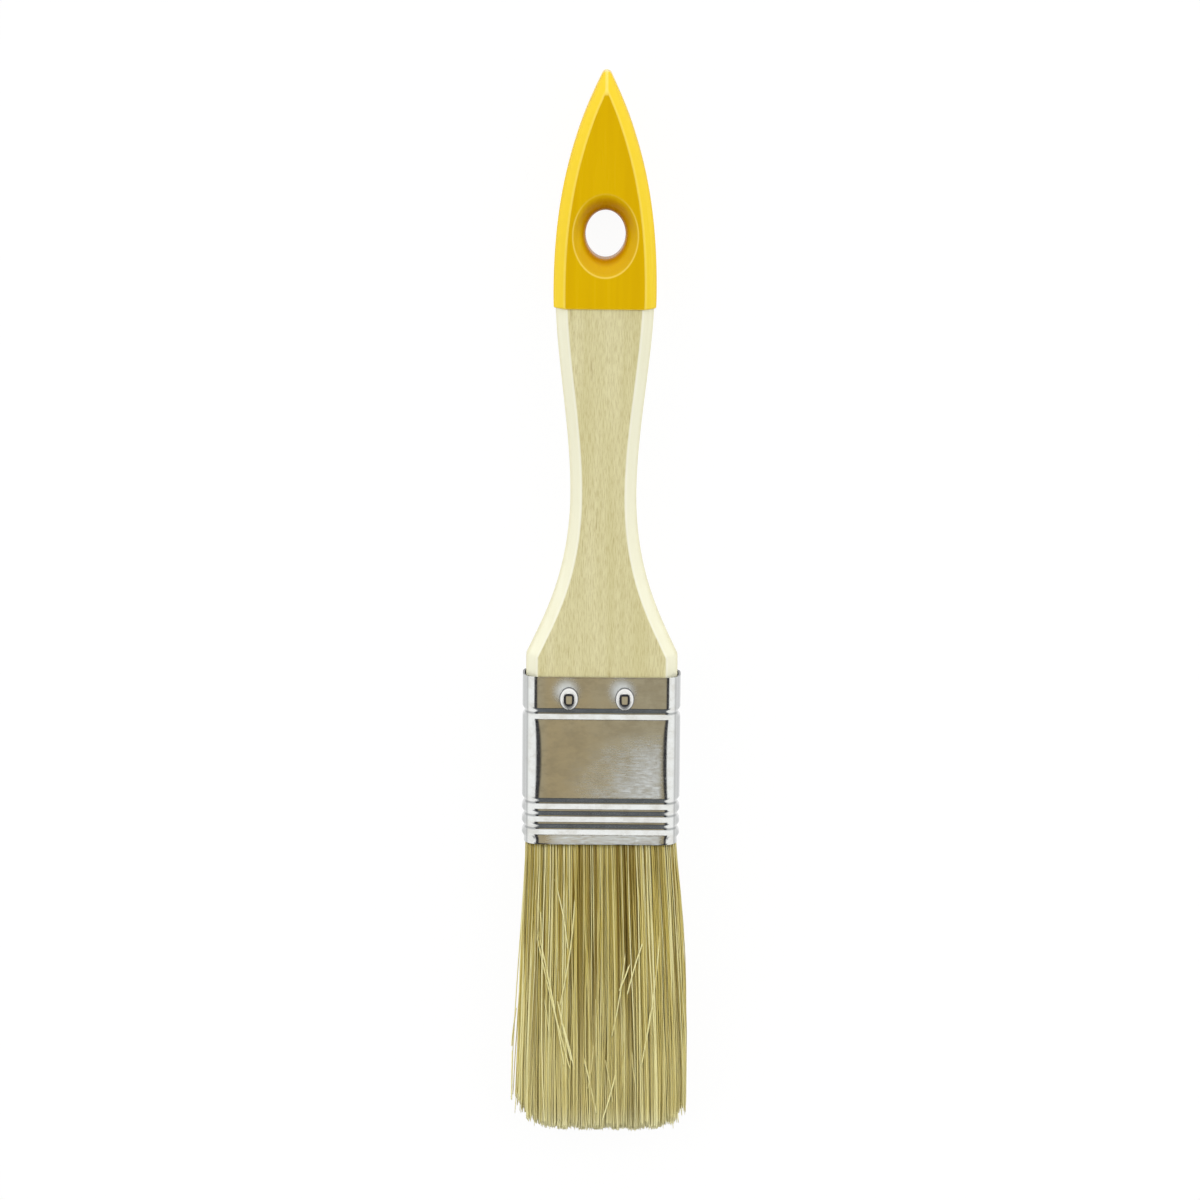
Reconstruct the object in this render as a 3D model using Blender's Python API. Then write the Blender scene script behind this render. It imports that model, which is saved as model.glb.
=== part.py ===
"""Flat paint brush with a wooden handle, a dipped tip, a nailed metal ferrule and two bristle packs.

The brush lies on its back. X runs across it, +Y towards the handle's tip and +Z out of the front face.
Pieces are drawn with y = 0 at the ferrule's lip and z = 0 in the middle of the board. The empty that
carries them then puts the origin under the middle of the brush, at its lowest point.
"""
import math
import random

import bmesh
import bpy
from mathutils import Vector

# Ferrule, in metres
FERRULE_WIDTH = 0.0270
FERRULE_THICKNESS = 0.0090
FERRULE_LENGTH = 0.0292
FERRULE_WALL = 0.00035
FERRULE_CORNER_WIDTH = 0.0029
FERRULE_CORNER_DEPTH = 0.0038
GROOVE_DEPTH = 0.00045
GROOVE_WIDTH = 0.0021
RIM_TO_GROOVE = 0.0064
LIP_TO_GROOVE = 0.00265
LIP_GROOVE_PITCH = 0.00224
LIP_GROOVE_COUNT = 3
LIP_INSET = 0.00038
LIP_CURL = 0.0009

# Handle, with heights measured up from the ferrule's rim
HANDLE_LENGTH = 0.1028
BELLY_HEIGHT = 0.0658
NECK_HEIGHT = 0.0313
SHOULDER_HEIGHT = 0.0032
BELLY_WIDTH = 0.01672
NECK_WIDTH = 0.0112
TIP_RADIUS = 0.00068
TIP_HALF_ANGLE = math.radians(24.7)
SHOULDER_HALF_ANGLE = math.radians(24.7)
CHAMFER_WIDTH = 0.0020
CHAMFER_DEPTH = 0.0024
TANG_DEPTH = 0.0130
TANG_GAP = 0.00025

# How far each curve of the outline keeps its end direction
TIP_REACH = 0.0131
BELLY_REACH_UP = 0.0140
BELLY_REACH_DOWN = 0.0105
NECK_REACH_UP = 0.0117
NECK_REACH_DOWN = 0.0141
SHOULDER_REACH = 0.0070

# Dip coat and hang hole
COAT_LENGTH = 0.0398
COAT_WALL = 0.00025
COAT_GAP = 0.00010
HOLE_HEIGHT = 0.0755
HOLE_WIDTH = 0.00675
HOLE_LENGTH = 0.0083
SINK_MARGIN_WIDTH = 0.0022
SINK_MARGIN_LENGTH = 0.0030
SINK_DEPTH = 0.0028

# Nails
NAIL_SPACING = 0.0095
NAIL_OFFSET = -0.0008
RIM_TO_NAIL = 0.0034
NAIL_HEAD_WIDTH = 0.00325
NAIL_HEAD_LENGTH = 0.00375
NAIL_HEAD_HEIGHT = 0.0009
NAIL_SHANK = 0.0014
NAIL_BITE = 0.0028
NAIL_POINT = 0.0008
NAIL_SEAT_GAP = 0.00008
NAIL_HOLE_GAP = 0.00015

# Setting, spacer plug and bristles
SETTING_GAP = 0.00025
SETTING_LENGTH = 0.0036
ROOT_LENGTH = 0.0088
ROOT_GAP = 0.00020
PLUG_THICKNESS = 0.0018
PLUG_MARGIN = 0.0006
BRISTLE_LENGTH = 0.0512
BRISTLE_FULL_LEVEL = 0.0330
BRISTLE_FULL_WIDTH = 0.0305
BRISTLE_FULL_THICKNESS = 0.0092
BRISTLE_TIP_WIDTH = 0.0314
BRISTLE_TIP_THICKNESS = 0.0072
CORNER_DROP = 0.0068
TIP_RAGGED = 0.0022
STRAND_ROOT_RADIUS = 0.00020
STRAND_FULL_RADIUS = 0.00025
STRAND_TIP_RADIUS = 0.00016
STRAND_MARGIN = 0.00015
STRAND_COLUMNS = 40
STRAND_ROWS = 4

# Counts of facets, and shares that shape a curve
CORNER_FACETS = 5
SPOOL_FACETS = 24
SINK_FACETS = 5
SINK_LAST_ANGLE = math.radians(62)
NAIL_FACETS = 16
NAIL_DOME_ANGLES = (0, 25, 50, 75)
NAIL_POINT_SHARE = 0.1
GROOVE_SHARES = (-1, -0.5, 0, 0.5, 1)
CURVE_STEPS = 10
TIP_ANGLES = (45, 65, 80)
CHAMFER_ROUND_ACROSS = 0.35
CHAMFER_ROUND_UP = 0.6
CORNER_DROP_POWER = 9
STRAND_SIDES = 3
STRAND_STAGGER = 0.25
SWAY_ACROSS = 0.5
SWAY_OUT = 0.7
ROOT_BURY_SHARE = 0.25
SEED = 7

# Small working lengths
RIDGE_HALF_WIDTH = 0.00005
CUT_PAST = 0.0015
LEAST_STATION_GAP = 0.00005
LEAST_SIDE_FLAT = 0.0002

# Sizes that follow from the ones above
FERRULE_HALF_WIDTH = FERRULE_WIDTH / 2
FERRULE_HALF_THICKNESS = FERRULE_THICKNESS / 2
CORNER_DEPTH = min(FERRULE_CORNER_DEPTH, FERRULE_HALF_THICKNESS - LEAST_SIDE_FLAT)
BOARD_HALF_THICKNESS = FERRULE_HALF_THICKNESS - FERRULE_WALL - TANG_GAP
TANG_HALF_WIDTH = FERRULE_HALF_WIDTH - FERRULE_WALL - TANG_GAP
RIM_Y = FERRULE_LENGTH
TIP_Y = RIM_Y + HANDLE_LENGTH
COAT_EDGE_Y = TIP_Y - COAT_LENGTH
COAT_STEP = COAT_WALL + COAT_GAP
HOLE_Y = RIM_Y + HOLE_HEIGHT
NAIL_Y = RIM_Y - RIM_TO_NAIL
TANG_END_Y = RIM_Y - TANG_DEPTH
SETTING_TOP_Y = TANG_END_Y - SETTING_GAP
SETTING_BOTTOM_Y = SETTING_TOP_Y - SETTING_LENGTH
ROOT_TOP_Y = SETTING_BOTTOM_Y - SETTING_GAP
ROOT_BOTTOM_Y = ROOT_TOP_Y - ROOT_LENGTH
ROOT_INSET = FERRULE_WALL + max(GROOVE_DEPTH, LIP_INSET) + ROOT_GAP
ROOT_HALF_WIDTH = FERRULE_HALF_WIDTH - ROOT_INSET
ROOT_HALF_THICKNESS = FERRULE_HALF_THICKNESS - ROOT_INSET
ROOT_CORNER_WIDTH = FERRULE_CORNER_WIDTH - ROOT_INSET
ROOT_CORNER_DEPTH = CORNER_DEPTH - ROOT_INSET
STRAND_EDGE_GAP = STRAND_ROOT_RADIUS + STRAND_MARGIN
LOWEST_Z = -(FERRULE_HALF_THICKNESS + NAIL_SEAT_GAP + NAIL_HEAD_HEIGHT)
MIDDLE_Y = (TIP_Y + COAT_STEP - BRISTLE_LENGTH) / 2


def clear_scene():
    """Remove every object that the new scene starts with."""
    for old in list(bpy.data.objects):
        bpy.data.objects.remove(old, do_unlink=True)


def make_material(name, colour, roughness, metallic):
    """One plain material with the piece's colour, roughness and metallic value."""
    material = bpy.data.materials.new(name)
    material.use_nodes = True
    shader = material.node_tree.nodes["Principled BSDF"]
    shader.inputs["Base Color"].default_value = (*colour, 1.0)
    shader.inputs["Roughness"].default_value = roughness
    shader.inputs["Metallic"].default_value = metallic
    return material


def add_piece(name, shape, material, carrier):
    """Turn a bmesh into a named object under the carrier."""
    bmesh.ops.recalc_face_normals(shape, faces=shape.faces)
    mesh = bpy.data.meshes.new(name)
    shape.to_mesh(mesh)
    shape.free()
    piece = bpy.data.objects.new(name, mesh)
    bpy.context.collection.objects.link(piece)
    piece.parent = carrier
    if material:
        mesh.materials.append(material)
        mesh.shade_smooth()
        mesh.set_sharp_from_angle(angle=math.radians(35))
    return piece


def add_cutter(name, shape, carrier):
    """A hidden solid that other pieces are cut with."""
    cutter = add_piece(name, shape, None, carrier)
    cutter.hide_render = True
    cutter.display_type = "WIRE"
    return cutter


def combine(piece, other, operation, solver="EXACT"):
    """Cut another solid out of a piece, or fuse it on."""
    step = piece.modifiers.new(f"{operation.lower()} {other.name}", "BOOLEAN")
    step.operation = operation
    step.solver = solver
    step.object = other


def add_loft(shape, rings, is_tube=False):
    """Skin a list of rings that have as many points each. A tube joins its last ring to its first."""
    loops = [[shape.verts.new(point) for point in ring] for ring in rings]
    pairs = list(zip(loops, loops[1:]))
    if is_tube:
        pairs.append((loops[-1], loops[0]))
    else:
        shape.faces.new(loops[0])
        shape.faces.new(loops[-1])
    for lower, upper in pairs:
        for index in range(len(lower)):
            after = (index + 1) % len(lower)
            shape.faces.new((lower[index], lower[after], upper[after], upper[index]))


def bezier(start, start_pull, end_pull, end, steps):
    """Points along a cubic curve, without its last one."""
    points = []
    for step in range(steps):
        t = step / steps
        s = 1 - t
        points.append(s ** 3 * start + 3 * s * s * t * start_pull + 3 * s * t * t * end_pull + t ** 3 * end)
    return points


def lip_grooves():
    """Heights of the grooves near the lip."""
    return [LIP_TO_GROOVE + index * LIP_GROOVE_PITCH for index in range(LIP_GROOVE_COUNT)]


def groove_depth_at(y):
    """How far the ferrule is pressed in at a height: its grooves, and the turned-in lip below them."""
    depth = LIP_INSET if y <= LIP_CURL else 0.0
    for centre in lip_grooves() + [RIM_Y - RIM_TO_GROOVE]:
        reach = abs(y - centre) / (GROOVE_WIDTH / 2)
        if reach < 1:
            depth = max(depth, GROOVE_DEPTH * (1 + math.cos(math.pi * reach)) / 2)
    return depth


def groove_stations(centres):
    """Rising heights that follow the rounded hollow of each groove."""
    return [centre + share * GROOVE_WIDTH / 2 for centre in centres for share in GROOVE_SHARES]


def rising(heights):
    """Heights in order, without those that all but repeat another."""
    kept = []
    for y in sorted(heights):
        if not kept or y - kept[-1] > LEAST_STATION_GAP:
            kept.append(y)
    return kept


def rounded_ring(half_width, half_thickness, corner_width, corner_depth, y):
    """A rectangle with oval corners, across the brush at height y."""
    ring = []
    for quarter in range(4):
        side_x = 1 if quarter in (0, 3) else -1
        side_z = 1 if quarter in (0, 1) else -1
        for step in range(CORNER_FACETS + 1):
            angle = math.radians(90) * (quarter + step / CORNER_FACETS)
            x = side_x * (half_width - corner_width) + corner_width * math.cos(angle)
            z = side_z * (half_thickness - corner_depth) + corner_depth * math.sin(angle)
            ring.append(Vector((x, y, z)))
    return ring


def ferrule_ring(inset, y):
    """The ferrule's section moved inwards by an inset."""
    return rounded_ring(FERRULE_HALF_WIDTH - inset, FERRULE_HALF_THICKNESS - inset,
                        FERRULE_CORNER_WIDTH - inset, CORNER_DEPTH - inset, y)


def handle_ring(half_width, half_thickness, y):
    """The board's section: two flat faces, with a slightly rounded chamfer on each edge.

    Where the board is narrower than two chamfers they meet in a ridge, which runs down to the tip.
    """
    flat = max(half_width - CHAMFER_WIDTH, RIDGE_HALF_WIDTH)
    slope = CHAMFER_DEPTH / CHAMFER_WIDTH
    side_z = half_thickness - CHAMFER_DEPTH
    top_z = side_z + slope * (half_width - flat)
    round_x = half_width - CHAMFER_ROUND_ACROSS * (half_width - flat)
    round_z = side_z + CHAMFER_ROUND_UP * (top_z - side_z)
    quarter = [(half_width, side_z), (round_x, round_z), (flat, top_z)]
    front = quarter + [(-x, z) for x, z in reversed(quarter)]
    rear = [(-x, -z) for x, z in front]
    return [Vector((x, y, z)) for x, z in front + rear]


def handle_outline(offset):
    """Half-widths of the board from its shoulder to its tip, moved outwards by an offset.

    Each point is (y, half-width).
    """
    tip_angles = [TIP_HALF_ANGLE] + [math.radians(degrees) for degrees in TIP_ANGLES]
    tip_centre = Vector((TIP_Y - TIP_RADIUS, 0))
    tip_arc = [tip_centre + TIP_RADIUS * Vector((math.sin(angle), math.cos(angle))) for angle in tip_angles]
    tip_pull = TIP_REACH * Vector((-math.cos(TIP_HALF_ANGLE), math.sin(TIP_HALF_ANGLE)))
    shoulder = Vector((RIM_Y + SHOULDER_HEIGHT, TANG_HALF_WIDTH))
    shoulder_pull = SHOULDER_REACH * Vector((math.cos(SHOULDER_HALF_ANGLE), -math.sin(SHOULDER_HALF_ANGLE)))
    neck = Vector((RIM_Y + NECK_HEIGHT, NECK_WIDTH / 2))
    neck_pulls = [neck - Vector((NECK_REACH_DOWN, 0)), neck + Vector((NECK_REACH_UP, 0))]
    belly = Vector((RIM_Y + BELLY_HEIGHT, BELLY_WIDTH / 2))
    belly_pulls = [belly - Vector((BELLY_REACH_DOWN, 0)), belly + Vector((BELLY_REACH_UP, 0))]
    points = bezier(shoulder, shoulder + shoulder_pull, neck_pulls[0], neck, CURVE_STEPS)
    points += bezier(neck, neck_pulls[1], belly_pulls[0], belly, CURVE_STEPS)
    points += bezier(belly, belly_pulls[1], tip_arc[0] + tip_pull, tip_arc[0], CURVE_STEPS)
    points += tip_arc
    moved = []
    for index, point in enumerate(points):
        before = points[max(index - 1, 0)]
        after = points[min(index + 1, len(points) - 1)]
        along = (after - before).normalized()
        moved.append(point + offset * Vector((-along.y, along.x)))
    return moved


def clipped_above(points, y):
    """The part of an outline above a height, with a point on that height itself."""
    for index, (before, after) in enumerate(zip(points, points[1:])):
        if before.x <= y < after.x:
            cut = before.lerp(after, (y - before.x) / (after.x - before.x))
            return [cut] + points[index + 1:]
    return points


def coat_loft(offset, lowest_y):
    """A solid of the handle's upper end, grown by an offset."""
    shape = bmesh.new()
    points = clipped_above(handle_outline(offset), lowest_y)
    add_loft(shape, [handle_ring(w, BOARD_HALF_THICKNESS + offset, y) for y, w in points])
    return shape


def hole_spool(growth):
    """The hang hole with its rounded sinks on both faces, grown on all sides."""
    face_z = BOARD_HALF_THICKNESS + COAT_STEP
    throat_z = face_z - SINK_DEPTH
    profile = []
    for step in range(SINK_FACETS + 1):
        angle = SINK_LAST_ANGLE * step / SINK_FACETS
        out = (1 - math.cos(angle)) / (1 - math.cos(SINK_LAST_ANGLE))
        up = math.sin(angle) / math.sin(SINK_LAST_ANGLE)
        profile.append((out, up))
    (out_a, up_a), (out_b, up_b) = profile[-2:]
    past = CUT_PAST / SINK_DEPTH / (up_b - up_a)
    profile[-1] = (out_b + (out_b - out_a) * past, up_b + (up_b - up_a) * past)
    upper = [(out, throat_z - growth + SINK_DEPTH * up) for out, up in profile]
    stations = [(out, -z) for out, z in reversed(upper)] + upper
    shape = bmesh.new()
    rings = []
    for out, z in stations:
        radius_x = HOLE_WIDTH / 2 + SINK_MARGIN_WIDTH * out + growth
        radius_y = HOLE_LENGTH / 2 + SINK_MARGIN_LENGTH * out + growth
        angles = [2 * math.pi * step / SPOOL_FACETS for step in range(SPOOL_FACETS)]
        rings.append([Vector((radius_x * math.cos(a), HOLE_Y + radius_y * math.sin(a), z)) for a in angles])
    add_loft(shape, rings)
    return shape


def nail_places():
    """Name, x and facing of each nail."""
    places = []
    for face, facing in (("front", 1), ("rear", -1)):
        for hand, side in (("left", -1), ("right", 1)):
            places.append((f"nail_{face}_{hand}", NAIL_OFFSET + side * NAIL_SPACING / 2, facing))
    return places


def round_ring(x, y, z, radius_x, radius_y):
    """An oval across the nail's axis."""
    angles = [2 * math.pi * step / NAIL_FACETS for step in range(NAIL_FACETS)]
    return [Vector((x + radius_x * math.cos(a), y + radius_y * math.sin(a), z)) for a in angles]


def make_handle(wood, carrier):
    """The board from the tang's end to the tip, with the nails' pilot holes and room for the lined hole."""
    shape = bmesh.new()
    stations = rising([TANG_END_Y, RIM_Y] + groove_stations([RIM_Y - RIM_TO_GROOVE]))
    rings = []
    for y in stations:
        inset = groove_depth_at(y)
        rings.append(handle_ring(TANG_HALF_WIDTH - inset, BOARD_HALF_THICKNESS - inset, y))
    rings += [handle_ring(w, BOARD_HALF_THICKNESS, y) for y, w in handle_outline(0.0)]
    add_loft(shape, rings)
    handle = add_piece("handle", shape, wood, carrier)
    combine(handle, add_cutter("cut_handle_hole", hole_spool(COAT_STEP), carrier), "DIFFERENCE")
    pilots = bmesh.new()
    radius = NAIL_SHANK / 2 + NAIL_HOLE_GAP
    end_z = FERRULE_HALF_THICKNESS - FERRULE_WALL - NAIL_BITE - NAIL_HOLE_GAP
    for _, x, facing in nail_places():
        heights = (facing * end_z, facing * (FERRULE_HALF_THICKNESS + CUT_PAST))
        add_loft(pilots, [round_ring(x, NAIL_Y, z, radius, radius) for z in heights])
    combine(handle, add_cutter("cut_pilot_holes", pilots, carrier), "DIFFERENCE")


def make_dip_coat(paint, carrier):
    """The thin coat over the handle's upper end, open below, which also lines the hang hole."""
    inside = add_cutter("cut_coat_inside", coat_loft(COAT_GAP, COAT_EDGE_Y - CUT_PAST), carrier)
    combine(inside, add_cutter("cut_coat_lining", hole_spool(COAT_WALL), carrier), "DIFFERENCE")
    coat = add_piece("dip_coat", coat_loft(COAT_STEP, COAT_EDGE_Y), paint, carrier)
    combine(coat, inside, "DIFFERENCE")
    combine(coat, add_cutter("cut_coat_hole", hole_spool(0.0), carrier), "DIFFERENCE")


def make_ferrule(metal, carrier):
    """The pressed sleeve, open at both ends, with its grooves and nail holes."""
    stations = rising([0.0, LIP_CURL, RIM_Y] + groove_stations(lip_grooves() + [RIM_Y - RIM_TO_GROOVE]))
    outer = [ferrule_ring(groove_depth_at(y), y) for y in stations]
    inner = [ferrule_ring(groove_depth_at(y) + FERRULE_WALL, y) for y in reversed(stations)]
    shape = bmesh.new()
    add_loft(shape, outer + inner, is_tube=True)
    ferrule = add_piece("ferrule", shape, metal, carrier)
    holes = bmesh.new()
    radius = NAIL_SHANK / 2 + NAIL_HOLE_GAP
    reach = FERRULE_HALF_THICKNESS + CUT_PAST
    for _, x, facing in nail_places():
        if facing > 0:
            add_loft(holes, [round_ring(x, NAIL_Y, z, radius, radius) for z in (-reach, reach)])
    combine(ferrule, add_cutter("cut_nail_holes", holes, carrier), "DIFFERENCE")


def make_nails(metal, carrier):
    """Four nails with domed heads, short shanks and points."""
    for name, x, facing in nail_places():
        seat = FERRULE_HALF_THICKNESS + NAIL_SEAT_GAP
        shank = NAIL_SHANK / 2
        point_z = FERRULE_HALF_THICKNESS - FERRULE_WALL - NAIL_BITE
        tip = shank * NAIL_POINT_SHARE
        profile = [(point_z, tip, tip), (point_z + NAIL_POINT, shank, shank), (seat, shank, shank)]
        full_rise = math.sin(math.radians(NAIL_DOME_ANGLES[-1]))
        for degrees in NAIL_DOME_ANGLES:
            swell = math.cos(math.radians(degrees))
            rise = NAIL_HEAD_HEIGHT * math.sin(math.radians(degrees)) / full_rise
            profile.append((seat + rise, NAIL_HEAD_WIDTH / 2 * swell, NAIL_HEAD_LENGTH / 2 * swell))
        shape = bmesh.new()
        add_loft(shape, [round_ring(x, NAIL_Y, facing * z, rx, ry) for z, rx, ry in profile])
        add_piece(name, shape, metal, carrier)


def make_setting_and_plug(resin, card, carrier):
    """The poured setting under the tang, and the strip between the two packs' roots."""
    inset = FERRULE_WALL + SETTING_GAP
    setting = bmesh.new()
    add_loft(setting, [ferrule_ring(inset, y) for y in (SETTING_BOTTOM_Y, SETTING_TOP_Y)])
    add_piece("resin_setting", setting, resin, carrier)
    plug = bmesh.new()
    corner = PLUG_THICKNESS / 4
    half_width = ROOT_HALF_WIDTH - PLUG_MARGIN
    ends = (ROOT_BOTTOM_Y, ROOT_TOP_Y)
    add_loft(plug, [rounded_ring(half_width, PLUG_THICKNESS / 2, corner, corner, y) for y in ends])
    add_piece("spacer_plug", plug, card, carrier)


def root_far(x):
    """How far the bound roots reach from the middle plane, less in the corners of the ferrule."""
    over = max(abs(x) - (ROOT_HALF_WIDTH - ROOT_CORNER_WIDTH), 0.0) / ROOT_CORNER_WIDTH
    return ROOT_HALF_THICKNESS - ROOT_CORNER_DEPTH * (1 - math.sqrt(max(1 - over * over, 0.0)))


def root_slice(facing):
    """The bound roots of one pack, a slab that fills its half of the ferrule."""
    near = PLUG_THICKNESS / 2 + ROOT_GAP
    base = ROOT_HALF_THICKNESS - ROOT_CORNER_DEPTH
    first = math.asin(max(near - base, 0.0) / ROOT_CORNER_DEPTH)
    corner = [(ROOT_HALF_WIDTH, near)] if near < base else []
    for step in range(CORNER_FACETS + 1):
        angle = first + (math.pi / 2 - first) * step / CORNER_FACETS
        x = ROOT_HALF_WIDTH - ROOT_CORNER_WIDTH * (1 - math.cos(angle))
        corner.append((x, base + ROOT_CORNER_DEPTH * math.sin(angle)))
    profile = corner + [(-x, z) for x, z in reversed(corner)]
    shape = bmesh.new()
    add_loft(shape, [[Vector((x, y, facing * z)) for x, z in profile] for y in (ROOT_BOTTOM_Y, ROOT_TOP_Y)])
    return shape


def strand_levels():
    """Heights down a pack, with its half-width and the nearest and farthest z of its strands' middles.

    The strands run straight from the roots to the lip and spread below it.
    """
    near = PLUG_THICKNESS / 2 + ROOT_GAP + STRAND_ROOT_RADIUS
    far = ROOT_HALF_THICKNESS - STRAND_EDGE_GAP
    edge = ROOT_HALF_WIDTH - STRAND_EDGE_GAP
    middle = STRAND_FULL_RADIUS + ROOT_GAP
    full_width = BRISTLE_FULL_WIDTH / 2 - STRAND_FULL_RADIUS
    full_far = BRISTLE_FULL_THICKNESS / 2 - STRAND_FULL_RADIUS - STRAND_MARGIN
    tip_width = BRISTLE_TIP_WIDTH / 2 - STRAND_TIP_RADIUS
    tip_far = BRISTLE_TIP_THICKNESS / 2 - STRAND_TIP_RADIUS - STRAND_MARGIN
    return [(ROOT_BOTTOM_Y + ROOT_LENGTH * ROOT_BURY_SHARE, edge, near, far),
            (0.0, edge, near, far),
            (-BRISTLE_FULL_LEVEL, full_width, middle, full_far),
            (-BRISTLE_LENGTH, tip_width, middle, tip_far)]


def strand_points(column, row, facing, chance):
    """Middles of one strand from its root to its tip. It stays in its own share of the pack."""
    levels = strand_levels()
    _, edge, root_near, root_mid = levels[0]
    shift = STRAND_STAGGER if row % 2 else -STRAND_STAGGER
    across = (column + 0.5 + shift) / STRAND_COLUMNS * 2 - 1
    fullness = (root_far(across * edge) - STRAND_EDGE_GAP - root_near) / (root_mid - root_near)
    ragged = TIP_RAGGED * chance.random()
    tip_y = -BRISTLE_LENGTH + CORNER_DROP * abs(across) ** CORNER_DROP_POWER + ragged
    points = []
    for y, half_width, near, far in levels:
        share_x = half_width / STRAND_COLUMNS - STRAND_FULL_RADIUS
        row_step = fullness * (far - near) / (STRAND_ROWS - 1)
        share_z = row_step / 2 - STRAND_FULL_RADIUS
        sway_x = max(share_x, 0.0) * chance.uniform(-SWAY_ACROSS, SWAY_ACROSS) if y < 0 else 0.0
        sway_z = max(share_z, 0.0) * chance.uniform(0.0, SWAY_OUT) if y < 0 else 0.0
        depth = near + row * row_step + sway_z
        points.append(Vector((across * half_width + sway_x, y, facing * depth)))
    above, last = points[-2:]
    points[-1] = above.lerp(last, (above.y - tip_y) / (above.y - last.y))
    return points


def make_bristle_pack(name, facing, hair, carrier):
    """One half of the bristles: strands fused to a slab of their bound roots."""
    chance = random.Random(SEED + facing)
    strands = bmesh.new()
    for column in range(STRAND_COLUMNS):
        for row in range(STRAND_ROWS):
            points = strand_points(column, row, facing, chance)
            turn = chance.uniform(0, 2 * math.pi)
            radii = (STRAND_ROOT_RADIUS, STRAND_ROOT_RADIUS, STRAND_FULL_RADIUS, STRAND_TIP_RADIUS)
            rings = []
            for point, radius in zip(points, radii):
                angles = [turn + 2 * math.pi * side / STRAND_SIDES for side in range(STRAND_SIDES)]
                rings.append([point + Vector((math.cos(a), 0, math.sin(a))) * radius for a in angles])
            add_loft(strands, rings)
    pack = add_piece(name, root_slice(facing), hair, carrier)
    combine(pack, add_cutter(f"join_{name}", strands, carrier), "UNION", solver="MANIFOLD")


def main():
    clear_scene()
    carrier = bpy.data.objects.new("brush", None)
    bpy.context.collection.objects.link(carrier)
    carrier.location = (0.0, -MIDDLE_Y, -LOWEST_Z)
    make_handle(make_material("bare wood", (0.68, 0.61, 0.36), 0.55, 0.0), carrier)
    make_dip_coat(make_material("yellow coat", (0.70, 0.43, 0.005), 0.35, 0.0), carrier)
    make_ferrule(make_material("tinned steel", (0.62, 0.60, 0.55), 0.22, 1.0), carrier)
    make_nails(make_material("nail steel", (0.72, 0.71, 0.69), 0.16, 1.0), carrier)
    resin = make_material("set resin", (0.30, 0.17, 0.06), 0.40, 0.0)
    card = make_material("plug wood", (0.55, 0.43, 0.26), 0.80, 0.0)
    make_setting_and_plug(resin, card, carrier)
    hair = make_material("hog bristle", (0.42, 0.33, 0.13), 0.50, 0.0)
    make_bristle_pack("bristle_pack_front", 1, hair, carrier)
    make_bristle_pack("bristle_pack_rear", -1, hair, carrier)


main()
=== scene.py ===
# %% [markdown]
# # A flat paint brush, dressed for its portrait
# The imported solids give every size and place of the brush: a wooden handle with a dipped yellow end,
# a pressed metal ferrule with four nails, and two packs of bristles. This lesson models the fine
# surface over those solids, one piece at a time, and gives each piece a finish.

# %% Load the solids
import math
from functools import partial

import bpy
import numpy as np
from mathutils import Matrix, Vector


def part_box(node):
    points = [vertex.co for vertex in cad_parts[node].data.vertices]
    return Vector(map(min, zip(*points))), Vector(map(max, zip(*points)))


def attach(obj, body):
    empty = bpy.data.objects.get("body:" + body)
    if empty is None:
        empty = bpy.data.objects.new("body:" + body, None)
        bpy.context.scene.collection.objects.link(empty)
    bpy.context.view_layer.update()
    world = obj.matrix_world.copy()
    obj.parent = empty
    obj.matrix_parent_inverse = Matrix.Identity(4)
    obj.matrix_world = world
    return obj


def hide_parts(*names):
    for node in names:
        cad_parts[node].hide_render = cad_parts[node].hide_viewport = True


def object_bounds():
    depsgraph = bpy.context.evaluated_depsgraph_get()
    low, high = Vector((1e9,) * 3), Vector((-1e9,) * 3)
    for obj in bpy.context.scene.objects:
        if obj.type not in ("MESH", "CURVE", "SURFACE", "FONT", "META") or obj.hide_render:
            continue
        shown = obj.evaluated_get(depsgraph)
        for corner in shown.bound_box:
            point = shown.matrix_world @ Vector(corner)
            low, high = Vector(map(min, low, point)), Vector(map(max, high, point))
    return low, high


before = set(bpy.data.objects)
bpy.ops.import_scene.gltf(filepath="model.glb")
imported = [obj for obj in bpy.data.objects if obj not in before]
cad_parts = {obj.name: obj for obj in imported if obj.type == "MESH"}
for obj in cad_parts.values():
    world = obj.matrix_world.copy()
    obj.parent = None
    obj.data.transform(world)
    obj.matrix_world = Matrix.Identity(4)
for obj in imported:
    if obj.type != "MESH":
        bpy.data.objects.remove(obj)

MM = 0.001
cad_low, cad_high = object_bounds()
print("solids fill", [round(side / MM, 1) for side in cad_high - cad_low], "mm")

# %% [markdown]
# ## Sizes that the solids already hold
# A piece fits its neighbours when it is measured from them. Boxes of the solids give the ferrule's lip
# and rim, the board's thickness and the step up to the coat. Only curves that a box can't tell, such as
# the handle's outline, are named again further down.

# %% Measure the solids
ferrule_low, ferrule_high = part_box("ferrule")
handle_low, handle_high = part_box("handle")
coat_low, coat_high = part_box("dip_coat")
LIP_Y = ferrule_low.y
RIM_Y = ferrule_high.y
MID_Z = (ferrule_low.z + ferrule_high.z) / 2
FERRULE_HALF_WIDTH = (ferrule_high.x - ferrule_low.x) / 2
FERRULE_HALF_THICKNESS = (ferrule_high.z - ferrule_low.z) / 2
TANG_HALF_WIDTH = (handle_high.x - handle_low.x) / 2
BOARD_HALF_THICKNESS = (handle_high.z - handle_low.z) / 2
COAT_EDGE_Y = coat_low.y
COAT_STEP = coat_high.z - handle_high.z
COAT_HALF_THICKNESS = BOARD_HALF_THICKNESS + COAT_STEP
print("lip", round(LIP_Y / MM, 2), "rim", round(RIM_Y / MM, 2), "coat step", round(COAT_STEP / MM, 2))

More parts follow.
